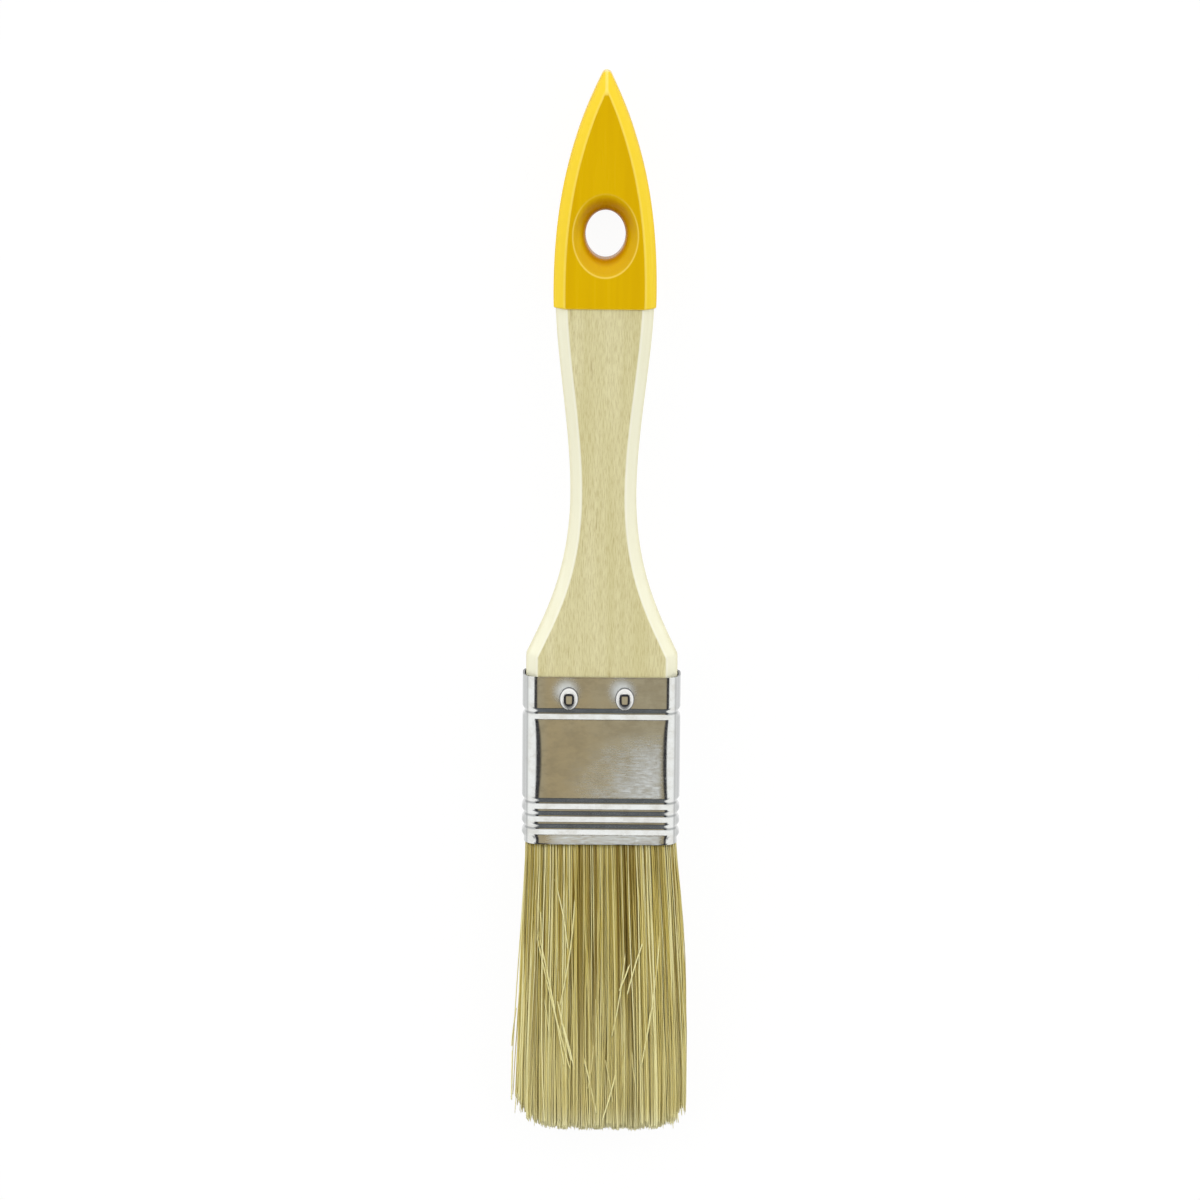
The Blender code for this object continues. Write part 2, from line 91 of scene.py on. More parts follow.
# %% [markdown]
# ## The camera
# The photograph looks almost straight down on the brush, from a little towards the handle. A long lens
# from a metre away keeps the handle from tapering, as in the photograph.

# %% Set the camera
CAMERA_DISTANCE = 1.0
CAMERA_TILT = math.radians(10.5)
CAMERA_ROLL = math.radians(0.50)
MM_PER_PIXEL = 0.17058
PHOTO_PIXELS = 1200
LIP_TO_FRAME_MIDDLE = 41.77 * MM
SIDE_SHIFT = -0.0020
LOOK_AT = Vector((0.0, LIP_Y + LIP_TO_FRAME_MIDDLE, MID_Z))
camera_data = bpy.data.cameras.new("camera")
camera_data.sensor_width = 36.0
camera_data.lens = camera_data.sensor_width * CAMERA_DISTANCE / (PHOTO_PIXELS * MM_PER_PIXEL * MM)
camera_data.shift_x = SIDE_SHIFT
camera_data.clip_start = 0.01
camera = bpy.data.objects.new("camera", camera_data)
bpy.context.scene.collection.objects.link(camera)
turn = Matrix.Rotation(-CAMERA_TILT, 4, "X") @ Matrix.Rotation(CAMERA_ROLL, 4, "Z")
away = Vector((0.0, math.sin(CAMERA_TILT), math.cos(CAMERA_TILT)))
camera.matrix_world = Matrix.Translation(LOOK_AT + away * CAMERA_DISTANCE) @ turn
bpy.context.scene.camera = camera
bpy.context.scene.view_settings.view_transform = "Standard"
print("lens", round(camera_data.lens, 1), "mm")

# %% [markdown]
# ## Small helpers for node trees
# Worlds and materials are trees of nodes. These helpers add one node to the tree that was opened last,
# feed its sockets and hand back its output, so that a finish reads like a short recipe.

# %% Node helpers
open_trees = []


def add_node(kind, **settings):
    node = open_trees[-1].nodes.new("ShaderNode" + kind)
    for key, value in settings.items():
        setattr(node, key, value)
    return node


def feed(socket, value):
    """Link a socket, or set a plain number or colour on it."""
    if isinstance(value, bpy.types.NodeSocket):
        socket.id_data.links.new(value, socket)
    else:
        socket.default_value = value


def feed_all(node, values):
    """Feed several sockets of one node by their names."""
    for name, value in values.items():
        feed(node.inputs[name], value)


def math_node(operation, *values):
    node = add_node("Math", operation=operation)
    for socket, value in zip(node.inputs, values):
        feed(socket, value)
    return node.outputs[0]


absolute = partial(math_node, "ABSOLUTE")
larger = partial(math_node, "MAXIMUM")
minus = partial(math_node, "SUBTRACT")
# A value times a factor plus an offset
scaled = partial(math_node, "MULTIPLY_ADD")


def band(value, start, end):
    """0 at the start, 1 at the end and smooth between them, whichever is the larger."""
    node = add_node("MapRange", interpolation_type="SMOOTHSTEP")
    for socket, number in zip(node.inputs, (value, start, end, 0.0, 1.0)):
        feed(socket, number)
    return node.outputs[0]


def all_of(*masks):
    """The product of several masks, which may also be plain shares."""
    product = masks[0]
    for mask in masks[1:]:
        product = math_node("MULTIPLY", product, mask)
    return product


def mix_colour(factor, first, second):
    node = add_node("Mix", data_type="RGBA")
    feed(node.inputs["Factor"], factor)
    feed(node.inputs[6], first)
    feed(node.inputs[7], second)
    return node.outputs[2]


def tint(colour, shade, *masks):
    """A colour with a shade mixed in by the product of the masks."""
    return mix_colour(all_of(*masks), colour, shade)


def coordinate_axes(source="Object"):
    """The three parts of a texture coordinate as separate values."""
    axes = add_node("SeparateXYZ")
    feed(axes.inputs[0], add_node("TexCoord").outputs[source])
    return axes.outputs


def new_material(name):
    """A new material, whose tree is opened, and its main shader."""
    material = bpy.data.materials.new(name)
    material.use_nodes = True
    open_trees.append(material.node_tree)
    return material, material.node_tree.nodes["Principled BSDF"]


def rgb(red, green, blue):
    """A colour as the eye reads it on a screen, turned into light values."""
    parts = [part / 255 for part in (red, green, blue)]
    return (*[p / 12.92 if p <= 0.04045 else ((p + 0.055) / 1.055) ** 2.4 for p in parts], 1.0)


# %% [markdown]
# ## The light
# Bright metal shows whatever surrounds it. The photograph's ferrule shows a white tent with a brown
# opening overhead, a dark frame round that opening and a dark side beyond the bristles. A world that is
# painted by direction gives the same surroundings. The tent lights the brush most from round the opening.
# Metal shows the tent as plain white, and so does the camera wherever it looks past the floor.

# %% Paint the surroundings
TENT_LOW = (1.10, 1.11, 1.10, 1.0)
TENT_HIGH = (1.78, 1.78, 1.75, 1.0)
OPENING = (0.385, 0.336, 0.224, 1.0)
OPENING_FRAME = (0.025, 0.025, 0.03, 1.0)
DARK_SIDE = (0.12, 0.13, 0.14, 1.0)
TENT_IN_METAL = (0.98, 0.99, 0.98, 1.0)
BACKDROP = (1.0, 1.0, 1.0, 1.0)

world = bpy.data.worlds.new("studio")
bpy.context.scene.world = world
world.use_nodes = True
sky = world.node_tree
open_trees.append(sky)
# The limits of the masks are slopes: so far across or along the brush for each step upwards.
way = coordinate_axes("Generated")
height = larger(way["Z"], 0.05)
across = absolute(math_node("DIVIDE", way["X"], height))
along = math_node("DIVIDE", way["Y"], height)
rays = add_node("LightPath").outputs
painted = mix_colour(band(way["Z"], 0.35, 0.75), TENT_LOW, TENT_HIGH)
painted = mix_colour(rays["Is Glossy Ray"], painted, TENT_IN_METAL)
painted = tint(painted, DARK_SIDE, band(along, -0.40, -0.60), band(across, 1.4, 0.9))
frame_along = all_of(band(along, 0.24, 0.18), band(along, -0.95, -0.85))
painted = tint(painted, OPENING_FRAME, band(across, 0.74, 0.66), frame_along)
open_along = all_of(band(along, 0.04, -0.02), band(along, -0.62, -0.52))
painted = tint(painted, OPENING, band(across, 0.34, 0.26), open_along)
looked_past = larger(rays["Is Camera Ray"], rays["Is Transmission Ray"])
painted = mix_colour(looked_past, painted, BACKDROP)
feed(sky.nodes["Background"].inputs["Color"], painted)
print("world painted with", len(sky.nodes), "nodes")

# %% [markdown]
# ## The floor
# The brush lies on a white light table. The camera, and metal that mirrors the table, see mostly its
# glow, which is pure white. A share of ordinary matte white keeps a soft shadow.

# %% Lay the floor
MATTE_WHITE = (0.88, 0.88, 0.88, 1.0)
GLOW_STRENGTH = 1.02
GLOW_SHARE = 0.15
GLOW_SHARE_GAIN = 0.78
FLOOR_SIZE = 6.0
FLOOR_GAP = 0.2 * MM


def make_table_white():
    material = new_material("white light table")[0]
    material.node_tree.nodes.clear()
    matte = add_node("BsdfDiffuse")
    feed(matte.inputs["Color"], MATTE_WHITE)
    glow = add_node("Emission")
    feed(glow.inputs["Strength"], GLOW_STRENGTH)
    rays = add_node("LightPath").outputs
    seen = larger(rays["Is Camera Ray"], rays["Is Glossy Ray"])
    seen = larger(seen, rays["Is Transmission Ray"])
    share = scaled(seen, GLOW_SHARE_GAIN, GLOW_SHARE)
    choice = add_node("MixShader")
    for socket, value in zip(choice.inputs, (share, matte.outputs[0], glow.outputs[0])):
        feed(socket, value)
    output = add_node("OutputMaterial")
    feed(output.inputs["Surface"], choice.outputs[0])
    return material


def deselect_everything():
    if bpy.context.object and bpy.context.object.mode != "OBJECT":
        bpy.ops.object.mode_set(mode="OBJECT")
    bpy.ops.object.select_all(action="DESELECT")


deselect_everything()
bpy.ops.mesh.primitive_plane_add(size=FLOOR_SIZE, location=(0.0, 0.0, -FLOOR_GAP))
floor = bpy.context.object
floor.name = "floor"
floor.data.materials.append(make_table_white())

# %% [markdown]
# ## A grid wrapped into a body
# Nearly every piece of a brush is a skin that wraps round its long axis. A grid primitive is such a skin
# laid flat: its columns go round the piece and its rows go along it. Laying each point of the grid in its
# place, merging the seam and filling the ends makes a closed body with tidy rows of faces.


# %% Modelling helpers
def face_outwards():
    """Turn all faces of the mesh in edit mode outwards and leave edit mode."""
    bpy.ops.mesh.select_all(action="SELECT")
    bpy.ops.mesh.normals_make_consistent(inside=False)
    bpy.ops.object.mode_set(mode="OBJECT")


def oval_ring(half, columns, middle_y, z):
    """Points round an upright axis on an oval."""
    turns = [2 * math.pi * step / columns for step in range(columns)]
    return [Vector((half.x * math.cos(a), middle_y + half.y * math.sin(a), z)) for a in turns]


def wrapped_grid(name, rings, cap_ends=True):
    """A grid primitive laid on rings of points, closed round each ring and filled at both ends."""
    deselect_everything()
    around = len(rings[0])
    rows = len(rings) - 1
    bpy.ops.mesh.primitive_grid_add(x_subdivisions=around, y_subdivisions=rows, size=2)
    piece = bpy.context.object
    piece.name = piece.data.name = name
    for vertex in piece.data.vertices:
        column = round((vertex.co.x + 1) / 2 * around) % around
        row = round((vertex.co.y + 1) / 2 * rows)
        vertex.co = rings[row][column]
    bpy.ops.object.mode_set(mode="EDIT")
    bpy.ops.mesh.select_all(action="SELECT")
    bpy.ops.mesh.remove_doubles(threshold=1e-8)
    if cap_ends:
        bpy.ops.mesh.fill_holes(sides=0)
    face_outwards()
    return piece


def make_active(piece):
    deselect_everything()
    piece.select_set(True)
    bpy.context.view_layer.objects.active = piece


def apply_modifier(piece, kind, **settings):
    """Add one modifier with its settings and apply it at once."""
    make_active(piece)
    modifier = piece.modifiers.new(kind.lower(), kind)
    for key, value in settings.items():
        setattr(modifier, key, value)
    bpy.ops.object.modifier_apply(modifier=modifier.name)


def smooth_by_angle(piece, degrees, keep_flats=False):
    """Smooth shading up to an angle; large flat faces may keep their own direction at their edges."""
    make_active(piece)
    bpy.ops.object.shade_smooth_by_angle(angle=math.radians(degrees))
    if keep_flats:
        apply_modifier(piece, "WEIGHTED_NORMAL", keep_sharp=True, weight=80)


def finish_piece(piece, node, material):
    """Ride on the one body, stand for a solid, and take a finish."""
    piece.data.materials.clear()
    piece.data.materials.append(material)
    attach(piece, "root")
    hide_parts(node)
    print(piece.name, "has", len(piece.data.polygons), "faces")


# %% [markdown]
# ## The board's outline
# The handle is a flat board cut to a waisted outline. Three smooth curves run from the shoulder to the
# neck, the belly and the tip, and a small arc rounds the tip. The coat uses the same outline, moved out.

# %% Draw the outline
TIP_RADIUS = 0.68 * MM
TIP_Y = coat_high.y - COAT_STEP
BELLY_Y = RIM_Y + 65.8 * MM
NECK_Y = RIM_Y + 31.3 * MM
SHOULDER_Y = RIM_Y + 3.2 * MM
BELLY_HALF_WIDTH = 8.36 * MM
NECK_HALF_WIDTH = 5.6 * MM
EDGE_SLANT = math.radians(24.7)
TIP_THINNING = 7.0 * MM
OUTLINE_STEPS = 30
TIP_STEPS = 9
TIP_LAST_ANGLE = math.radians(84)
TIP_OFFSET_LOSS = 0.45
SHOULDER_PULL = 7.0 * MM
NECK_PULLS = (Vector((14.1 * MM, 0.0)), Vector((11.7 * MM, 0.0)))
BELLY_PULLS = (Vector((10.5 * MM, 0.0)), Vector((14.0 * MM, 0.0)))
TIP_PULL = 13.1 * MM


def curve_points(start, start_pull, end_pull, end):
    """Points along a cubic curve, without its last one."""
    points = []
    for step in range(OUTLINE_STEPS):
        t = step / OUTLINE_STEPS
        s = 1 - t
        points.append(s**3 * start + 3 * s * s * t * start_pull + 3 * s * t * t * end_pull + t**3 * end)
    return points


def board_outline(offset):
    """(y, half-width) of the board from its shoulder to its tip, moved outwards by an offset."""
    centre = Vector((TIP_Y - TIP_RADIUS, 0.0))
    turned = TIP_LAST_ANGLE - EDGE_SLANT
    angles = [EDGE_SLANT + turned * step / TIP_STEPS for step in range(TIP_STEPS + 1)]
    tip = [centre + TIP_RADIUS * Vector((math.sin(angle), math.cos(angle))) for angle in angles]
    slant = Vector((math.cos(EDGE_SLANT), -math.sin(EDGE_SLANT)))
    shoulder = Vector((SHOULDER_Y, TANG_HALF_WIDTH))
    neck = Vector((NECK_Y, NECK_HALF_WIDTH))
    belly = Vector((BELLY_Y, BELLY_HALF_WIDTH))
    points = curve_points(shoulder, shoulder + SHOULDER_PULL * slant, neck - NECK_PULLS[0], neck)
    points += curve_points(neck, neck + NECK_PULLS[1], belly - BELLY_PULLS[0], belly)
    points += curve_points(belly, belly + BELLY_PULLS[1], tip[0] - TIP_PULL * slant, tip[0])
    points += tip
    moved = []
    for index, point in enumerate(points):
        way = (points[min(index + 1, len(points) - 1)] - points[max(index - 1, 0)]).normalized()
        near_tip = min(max(1 - (TIP_Y - point.x) / TIP_THINNING, 0.0), 1.0)
        moved.append(point + offset * (1 - TIP_OFFSET_LOSS * near_tip) * Vector((-way.y, way.x)))
    return moved


# %% [markdown]
# ## The board's section
# Every long edge is planed to a chamfer that turns a little rounder towards the side. Its edge with the
# flat face is crisp but not sharp, so a narrow strip of faces softens it and catches a line of light,
# which the finishes strengthen with a painted highlight.
# Near the tip the flat runs out and the two chamfers meet in a ridge.

# %% Shape the section
CHAMFER_WIDTH = 2.0 * MM
CHAMFER_DEPTH = 2.4 * MM
CHAMFER_SHARES = (1.0, 0.86, 0.70, 0.54, 0.38, 0.22, 0.10, 0.05)
EDGE_SOFTNESS = 0.10 * MM
RIDGE_HALF_WIDTH = 0.04 * MM
CHAMFER_ROUNDNESS = 0.25


def board_ring(half_width, half_thickness, y):
    """Points round the board: flat faces, softly rounded chamfers and narrow sides."""
    flat = max(half_width - CHAMFER_WIDTH, RIDGE_HALF_WIDTH)
    span = half_width - flat
    side_z = half_thickness - CHAMFER_DEPTH
    drop = CHAMFER_DEPTH / CHAMFER_WIDTH * span
    top_z = side_z + drop
    quarter = [(half_width, 0.5 * side_z)]
    for share in CHAMFER_SHARES:
        fall = (1 - CHAMFER_ROUNDNESS) * share + CHAMFER_ROUNDNESS * share**3
        quarter.append((flat + span * share, top_z - drop * fall))
    softness = min(EDGE_SOFTNESS, 0.2 * flat)
    quarter += [(flat - softness, top_z), (flat - 3 * softness, top_z), (0.2 * flat, top_z)]
    front = quarter + [(-x, z) for x, z in reversed(quarter)]
    return [Vector((x, y, MID_Z + z)) for x, z in front + [(-x, -z) for x, z in front]]


# %% [markdown]
# ## The hang hole
# A spool stands for the hole: a straight throat with a rounded sink on each face. The coat is cut with
# the spool itself. The wood is cut with a fatter one, which leaves room for the coat that lines the hole.

# %% Shape the spool
HOLE_Y = TIP_Y - 27.3 * MM
THROAT_HALF = Vector((3.375 * MM, 4.15 * MM))
SINK_MARGIN = Vector((2.2 * MM, 3.0 * MM))
SINK_DEPTH = 2.8 * MM
SINK_LAST_ANGLE = math.radians(62)
SINK_STEPS = 12
SPOOL_COLUMNS = 96
SPOOL_OVERRUN = 6
SINK_HALF = THROAT_HALF + SINK_MARGIN


def hole_spool(growth):
    """The body of the hole, grown by a margin and running out past both faces."""
    throat_z = COAT_HALF_THICKNESS - SINK_DEPTH - growth
    upper = []
    for step in range(SINK_STEPS + 3):
        angle = SINK_LAST_ANGLE * step / SINK_STEPS
        out = (1 - math.cos(angle)) / (1 - math.cos(SINK_LAST_ANGLE))
        upper.append((out, throat_z + SINK_DEPTH * math.sin(angle) / math.sin(SINK_LAST_ANGLE)))
    (out_a, z_a), (out_b, z_b) = upper[-2:]
    upper.append((out_b + SPOOL_OVERRUN * (out_b - out_a), z_b + SPOOL_OVERRUN * (z_b - z_a)))
    rings = []
    for out, z in [(out, -z) for out, z in reversed(upper)] + upper:
        half = THROAT_HALF + SINK_MARGIN * out + Vector((growth, growth))
        rings.append(oval_ring(half, SPOOL_COLUMNS, HOLE_Y, MID_Z + z))
    return wrapped_grid("spool", rings)


def cut_away(piece, cutter):
    """Cut a body out of a piece and throw the cutter away."""
    apply_modifier(piece, "BOOLEAN", operation="DIFFERENCE", solver="EXACT", object=cutter)
    bpy.data.objects.remove(cutter, do_unlink=True)


# %% [markdown]
# ## Grain that two finishes share
# Grain runs along the wood, and its broad bands show faintly through the coat. A node group holds it
# once: broad bands, fine fibres and short flecks, all stretched along the brush.


# %% Grain group
def noise(stretch, scale, detail, roughness):
    """Noise over the object coordinates, stretched by a factor on each axis."""
    mapping = add_node("Mapping")
    feed_all(mapping, {"Vector": add_node("TexCoord").outputs["Object"], "Scale": stretch})
    place = mapping.outputs["Vector"]
    node = add_node("TexNoise")
    feed_all(node, {"Vector": place, "Scale": scale, "Detail": detail, "Roughness": roughness})
    return node.outputs[0]


grain_group = bpy.data.node_groups.new("straight grain", "ShaderNodeTree")
open_trees.append(grain_group)
for label in ("Bands", "Fibres", "Flecks"):
    grain_group.interface.new_socket(label, in_out="OUTPUT", socket_type="NodeSocketFloat")
grain_out = grain_group.nodes.new("NodeGroupOutput")
grain_values = {
    "Bands": noise((1.0, 0.045, 1.0), 500.0, 3.0, 0.55),
    "Fibres": noise((1.0, 0.08, 1.0), 6500.0, 3.0, 0.65),
    "Flecks": band(noise((1.0, 0.08, 1.0), 2000.0, 2.0, 0.5), 0.68, 0.74),
}
feed_all(grain_out, grain_values)


def grain_outputs():
    return add_node("Group", node_tree=grain_group).outputs


# %% Material helpers
SIDE_LIGHT_SHARE = 0.55


def add_bump(shader, height_value, distance, strength):
    bump = add_node("Bump")
    feed_all(bump, {"Distance": distance, "Strength": strength, "Height": height_value})
    feed(shader.inputs["Normal"], bump.outputs["Normal"])


def stored_value(name):
    """A value that is stored on the points of a mesh."""
    return add_node("Attribute", attribute_name=name).outputs["Fac"]


def depth_of(axes, half_thickness):
    """How far a point lies below the nearer flat face of a board this thick."""
    off_middle = absolute(minus(axes["Z"], MID_Z))
    return minus(half_thickness, off_middle)


def side_light_mask(axes, half_thickness):
    """1 on the chamfers, about half on the sides and 0 on the flat faces, where painted side light goes.
    """
    depth = depth_of(axes, half_thickness)
    above_side = band(depth, CHAMFER_DEPTH + 0.3 * MM, CHAMFER_DEPTH - 0.9 * MM)
    pale = scaled(above_side, 1 - SIDE_LIGHT_SHARE, SIDE_LIGHT_SHARE)
    return all_of(band(depth, 0.02 * MM, 0.16 * MM), pale)


def edge_highlight_mask(axes, half_thickness):
    """1 along the narrow line where a chamfer leaves the flat face, where a highlight is painted."""
    depth = depth_of(axes, half_thickness)
    return all_of(band(depth, 0.01 * MM, 0.05 * MM), band(depth, 0.42 * MM, 0.22 * MM))


# %% [markdown]
# ## The wooden handle
# Pale sanded wood with fine straight grain. The chamfers, and less so the sides, are painted paler as
# side light, a painted highlight runs along each chamfer's edge, and short darker flecks follow the
# grain.


# %% Wood finish
def make_wood():
    material, shader = new_material("bare sanded wood")
    grain = grain_outputs()
    axes = coordinate_axes()
    broad = band(grain["Bands"], 0.3, 0.7)
    colour = mix_colour(broad, rgb(220, 212, 162), rgb(231, 224, 180))
    colour = tint(colour, rgb(194, 180, 124), band(grain["Fibres"], 0.58, 0.36), 0.55)
    colour = tint(colour, rgb(168, 146, 92), grain["Flecks"], 0.45)
    # Painted side light: the chamfers, and less so the sides, are paler than the flat faces.
    wood_side_light = side_light_mask(axes, BOARD_HALF_THICKNESS)
    paleness = scaled(grain["Bands"], -0.5, 1.13)
    colour = tint(colour, rgb(250, 248, 224), wood_side_light, paleness)
    # Painted highlight along each chamfer's edge with the flat face.
    edge_highlight = edge_highlight_mask(axes, BOARD_HALF_THICKNESS)
    colour = tint(colour, rgb(252, 250, 232), edge_highlight, 0.6)
    rough = scaled(grain["Fibres"], 0.3, 0.42)
    feed_all(shader, {"Base Color": colour, "Roughness": rough, "Specular IOR Level": 0.3})
    add_bump(shader, grain["Fibres"], 0.03 * MM, 0.5)
    return material


# %% Handle
GROOVE_DEPTH = 0.45 * MM
GROOVE_HALF = 1.05 * MM
RIM_GROOVE_Y = RIM_Y - 6.4 * MM


def hollow(y, centre):
    """Depth of one pressed groove at a height."""
    reach = abs(y - centre) / GROOVE_HALF
    return GROOVE_DEPTH * (1 + math.cos(math.pi * reach)) / 2 if reach < 1 else 0.0


groove_heights = [RIM_GROOVE_Y + GROOVE_HALF * share for share in (-1.0, -0.5, 0.0, 0.5, 1.0)]
wood_outline = board_outline(0.0)
handle_rings = []
for y in [handle_low.y] + groove_heights + [RIM_Y]:
    inset = hollow(y, RIM_GROOVE_Y)
    handle_rings.append(board_ring(TANG_HALF_WIDTH - inset, BOARD_HALF_THICKNESS - inset, y))
handle_rings += [board_ring(half_width, BOARD_HALF_THICKNESS, y) for y, half_width in wood_outline]
handle = wrapped_grid("handle_board", handle_rings)
cut_away(handle, hole_spool(COAT_STEP))
smooth_by_angle(handle, 30, keep_flats=True)
finish_piece(handle, "handle", make_wood())

# %% [markdown]
# ## The dipped coat
# The handle's upper end was dipped in yellow paint, so the coat covers the board, rolls in at its lower
# edge and lines the hole. It is a shell: the outer body is cut with the spool, opened at its lower end
# and given a thin wall on the inside. The rim of each sink is bevelled, which draws its bright line, and
# a painted highlight strengthens it. The finish also paints side light on the chamfers, highlights along
# their edges and on the tip's ridge, and shade in the upper sinks and the throat.


# %% Coat finish
coat_outline = board_outline(COAT_STEP)
RIDGE_Y = max(y for y, half_width in coat_outline if half_width > CHAMFER_WIDTH)
print("the flat ends", round((TIP_Y - RIDGE_Y) / MM, 1), "mm before the tip")


def make_coat_paint():
    material, shader = new_material("dipped yellow paint")
    grain = grain_outputs()
    axes = coordinate_axes()
    broad = band(grain["Bands"], 0.3, 0.7)
    colour = mix_colour(broad, rgb(223, 177, 0), rgb(228, 184, 0))
    aside = math_node("POWER", math_node("DIVIDE", axes["X"], SINK_HALF.x), 2.0)
    above = math_node("DIVIDE", minus(axes["Y"], HOLE_Y), SINK_HALF.y)
    reach = math_node("ADD", aside, math_node("POWER", above, 2.0))
    off_hole = band(reach, 1.05, 1.15)
    # Painted side light: the chamfers are paler, away from the hole.
    coat_side_light = side_light_mask(axes, COAT_HALF_THICKNESS)
    colour = tint(colour, rgb(255, 222, 56), coat_side_light, off_hole, 0.85)
    # Painted highlight along each chamfer's edge with the flat face.
    edge_highlight = edge_highlight_mask(axes, COAT_HALF_THICKNESS)
    colour = tint(colour, rgb(254, 226, 100), edge_highlight, off_hole, 0.6)
    # Painted shade in the upper part of each sink.
    upper_sink_shade = all_of(band(reach, 0.99, 0.60), band(above, -0.2, 0.7))
    colour = tint(colour, rgb(190, 130, 0), upper_sink_shade, 0.85)
    bowl = all_of(band(reach, 0.97, 0.80), band(above, -0.1, -0.6))
    colour = tint(colour, rgb(222, 173, 0), bowl)
    # Painted shade deep in the throat.
    colour = tint(colour, rgb(188, 124, 4), band(reach, 0.60, 0.38), 0.75)
    # Painted highlight round the rim of each sink, fainter above.
    rim = all_of(band(reach, 0.91, 0.97), band(reach, 1.05, 0.99))
    fainter_above = scaled(band(above, 0.3, 0.95), -0.5, 0.65)
    colour = tint(colour, rgb(255, 224, 104), rim, fainter_above)
    # Painted highlight along the tip's ridge, past the end of the flat.
    ridge_highlight = band(absolute(axes["X"]), 0.36 * MM, 0.12 * MM)
    past_flat = band(axes["Y"], RIDGE_Y, RIDGE_Y + MM)
    colour = tint(colour, rgb(255, 236, 128), ridge_highlight, past_flat, 0.7)
    rough = scaled(grain["Bands"], 0.12, 0.20)
    feed_all(shader, {"Base Color": colour, "Roughness": rough, "Specular IOR Level": 0.12})
    add_bump(shader, grain["Bands"], 0.012 * MM, 0.4)
    return material


# %% Coat
COAT_WALL = 0.25 * MM
EDGE_ROLL = ((0.0, 0.55), (0.07 * MM, 0.82), (0.18 * MM, 0.96), (0.34 * MM, 1.0))
ROW_GAP = 0.2 * MM
SINK_RIM_BEVEL = 0.14 * MM
LEVEL_TOLERANCE = 0.004 * MM
FLAT_TOLERANCE = 0.001 * MM
REACH_TOLERANCE = 0.02
UPRIGHT = 0.9999


def half_width_at(points, y):
    """Half-width of an outline at one height."""
    for before, after in zip(points, points[1:]):
        if before.x <= y <= after.x:
            return before.lerp(after, (y - before.x) / (after.x - before.x)).y
    return points[-1].y


def select_in_edit(piece, kind, chosen):
    """Enter edit mode with only the chosen edges or faces selected."""
    make_active(piece)
    bpy.ops.object.mode_set(mode="EDIT")
    bpy.context.tool_settings.mesh_select_mode = (False, kind == "EDGE", kind == "FACE")
    bpy.ops.mesh.select_all(action="DESELECT")
    bpy.ops.object.mode_set(mode="OBJECT")
    items = piece.data.edges if kind == "EDGE" else piece.data.polygons
    for index in chosen:
        items[index].select = True
    bpy.ops.object.mode_set(mode="EDIT")


def sink_rim_edges(piece):
    """Edges where a sink meets a flat face."""
    on_rim = set()
    for vertex in piece.data.vertices:
        reach = math.hypot(vertex.co.x / SINK_HALF.x, (vertex.co.y - HOLE_Y) / SINK_HALF.y)
        level = abs(vertex.co.z - MID_Z) - COAT_HALF_THICKNESS
        if abs(level) < LEVEL_TOLERANCE and abs(reach - 1) < REACH_TOLERANCE:
            on_rim.add(vertex.index)
    return [edge.index for edge in piece.data.edges if set(edge.vertices) <= on_rim]


def on_flat(face):
    """True for a face that lies in one of the coat's two flat planes."""
    level = abs(face.center.z - MID_Z) - COAT_HALF_THICKNESS
    return abs(level) < FLAT_TOLERANCE and abs(face.normal.z) > UPRIGHT


coat_rings = []
for rise, share in EDGE_ROLL:
    y = COAT_EDGE_Y + rise
    step_out = COAT_STEP * share
    half_width = half_width_at(wood_outline, y) + step_out
    coat_rings.append(board_ring(half_width, BOARD_HALF_THICKNESS + step_out, y))
first_y = COAT_EDGE_Y + EDGE_ROLL[-1][0] + ROW_GAP
for y, half_width in coat_outline:
    if y > first_y:
        coat_rings.append(board_ring(half_width, COAT_HALF_THICKNESS, y))
coat = wrapped_grid("dip_coat_shell", coat_rings)
cut_away(coat, hole_spool(0.0))
flat_faces = [face.index for face in coat.data.polygons if on_flat(face)]
select_in_edit(coat, "FACE", flat_faces)
bpy.ops.mesh.dissolve_limited(angle_limit=math.radians(0.1))
bpy.ops.object.mode_set(mode="OBJECT")
rim_edges = sink_rim_edges(coat)
select_in_edit(coat, "EDGE", rim_edges)
bpy.ops.mesh.bevel(offset=SINK_RIM_BEVEL, segments=3, affect="EDGES")
bpy.ops.object.mode_set(mode="OBJECT")
end_y = COAT_EDGE_Y + FLAT_TOLERANCE
end_faces = [face.index for face in coat.data.polygons if face.center.y < end_y]
select_in_edit(coat, "FACE", end_faces)
bpy.ops.mesh.delete(type="FACE")
bpy.ops.object.mode_set(mode="OBJECT")
apply_modifier(coat, "SOLIDIFY", thickness=COAT_WALL, offset=-1.0)
smooth_by_angle(coat, 30, keep_flats=True)
print("bevelled", len(rim_edges), "rim edges and opened", len(end_faces), "end face")
finish_piece(coat, "dip_coat", make_coat_paint())

# %% [markdown]
# ## The ferrule's shape
# A thin steel sleeve, pressed flat on both faces and rolled round at the corners. One groove grips the
# tang and three grip the bristles' roots. The lip is drawn in at the corners, the big panel swells very
# slightly, and the metal is raised a little round each nail.

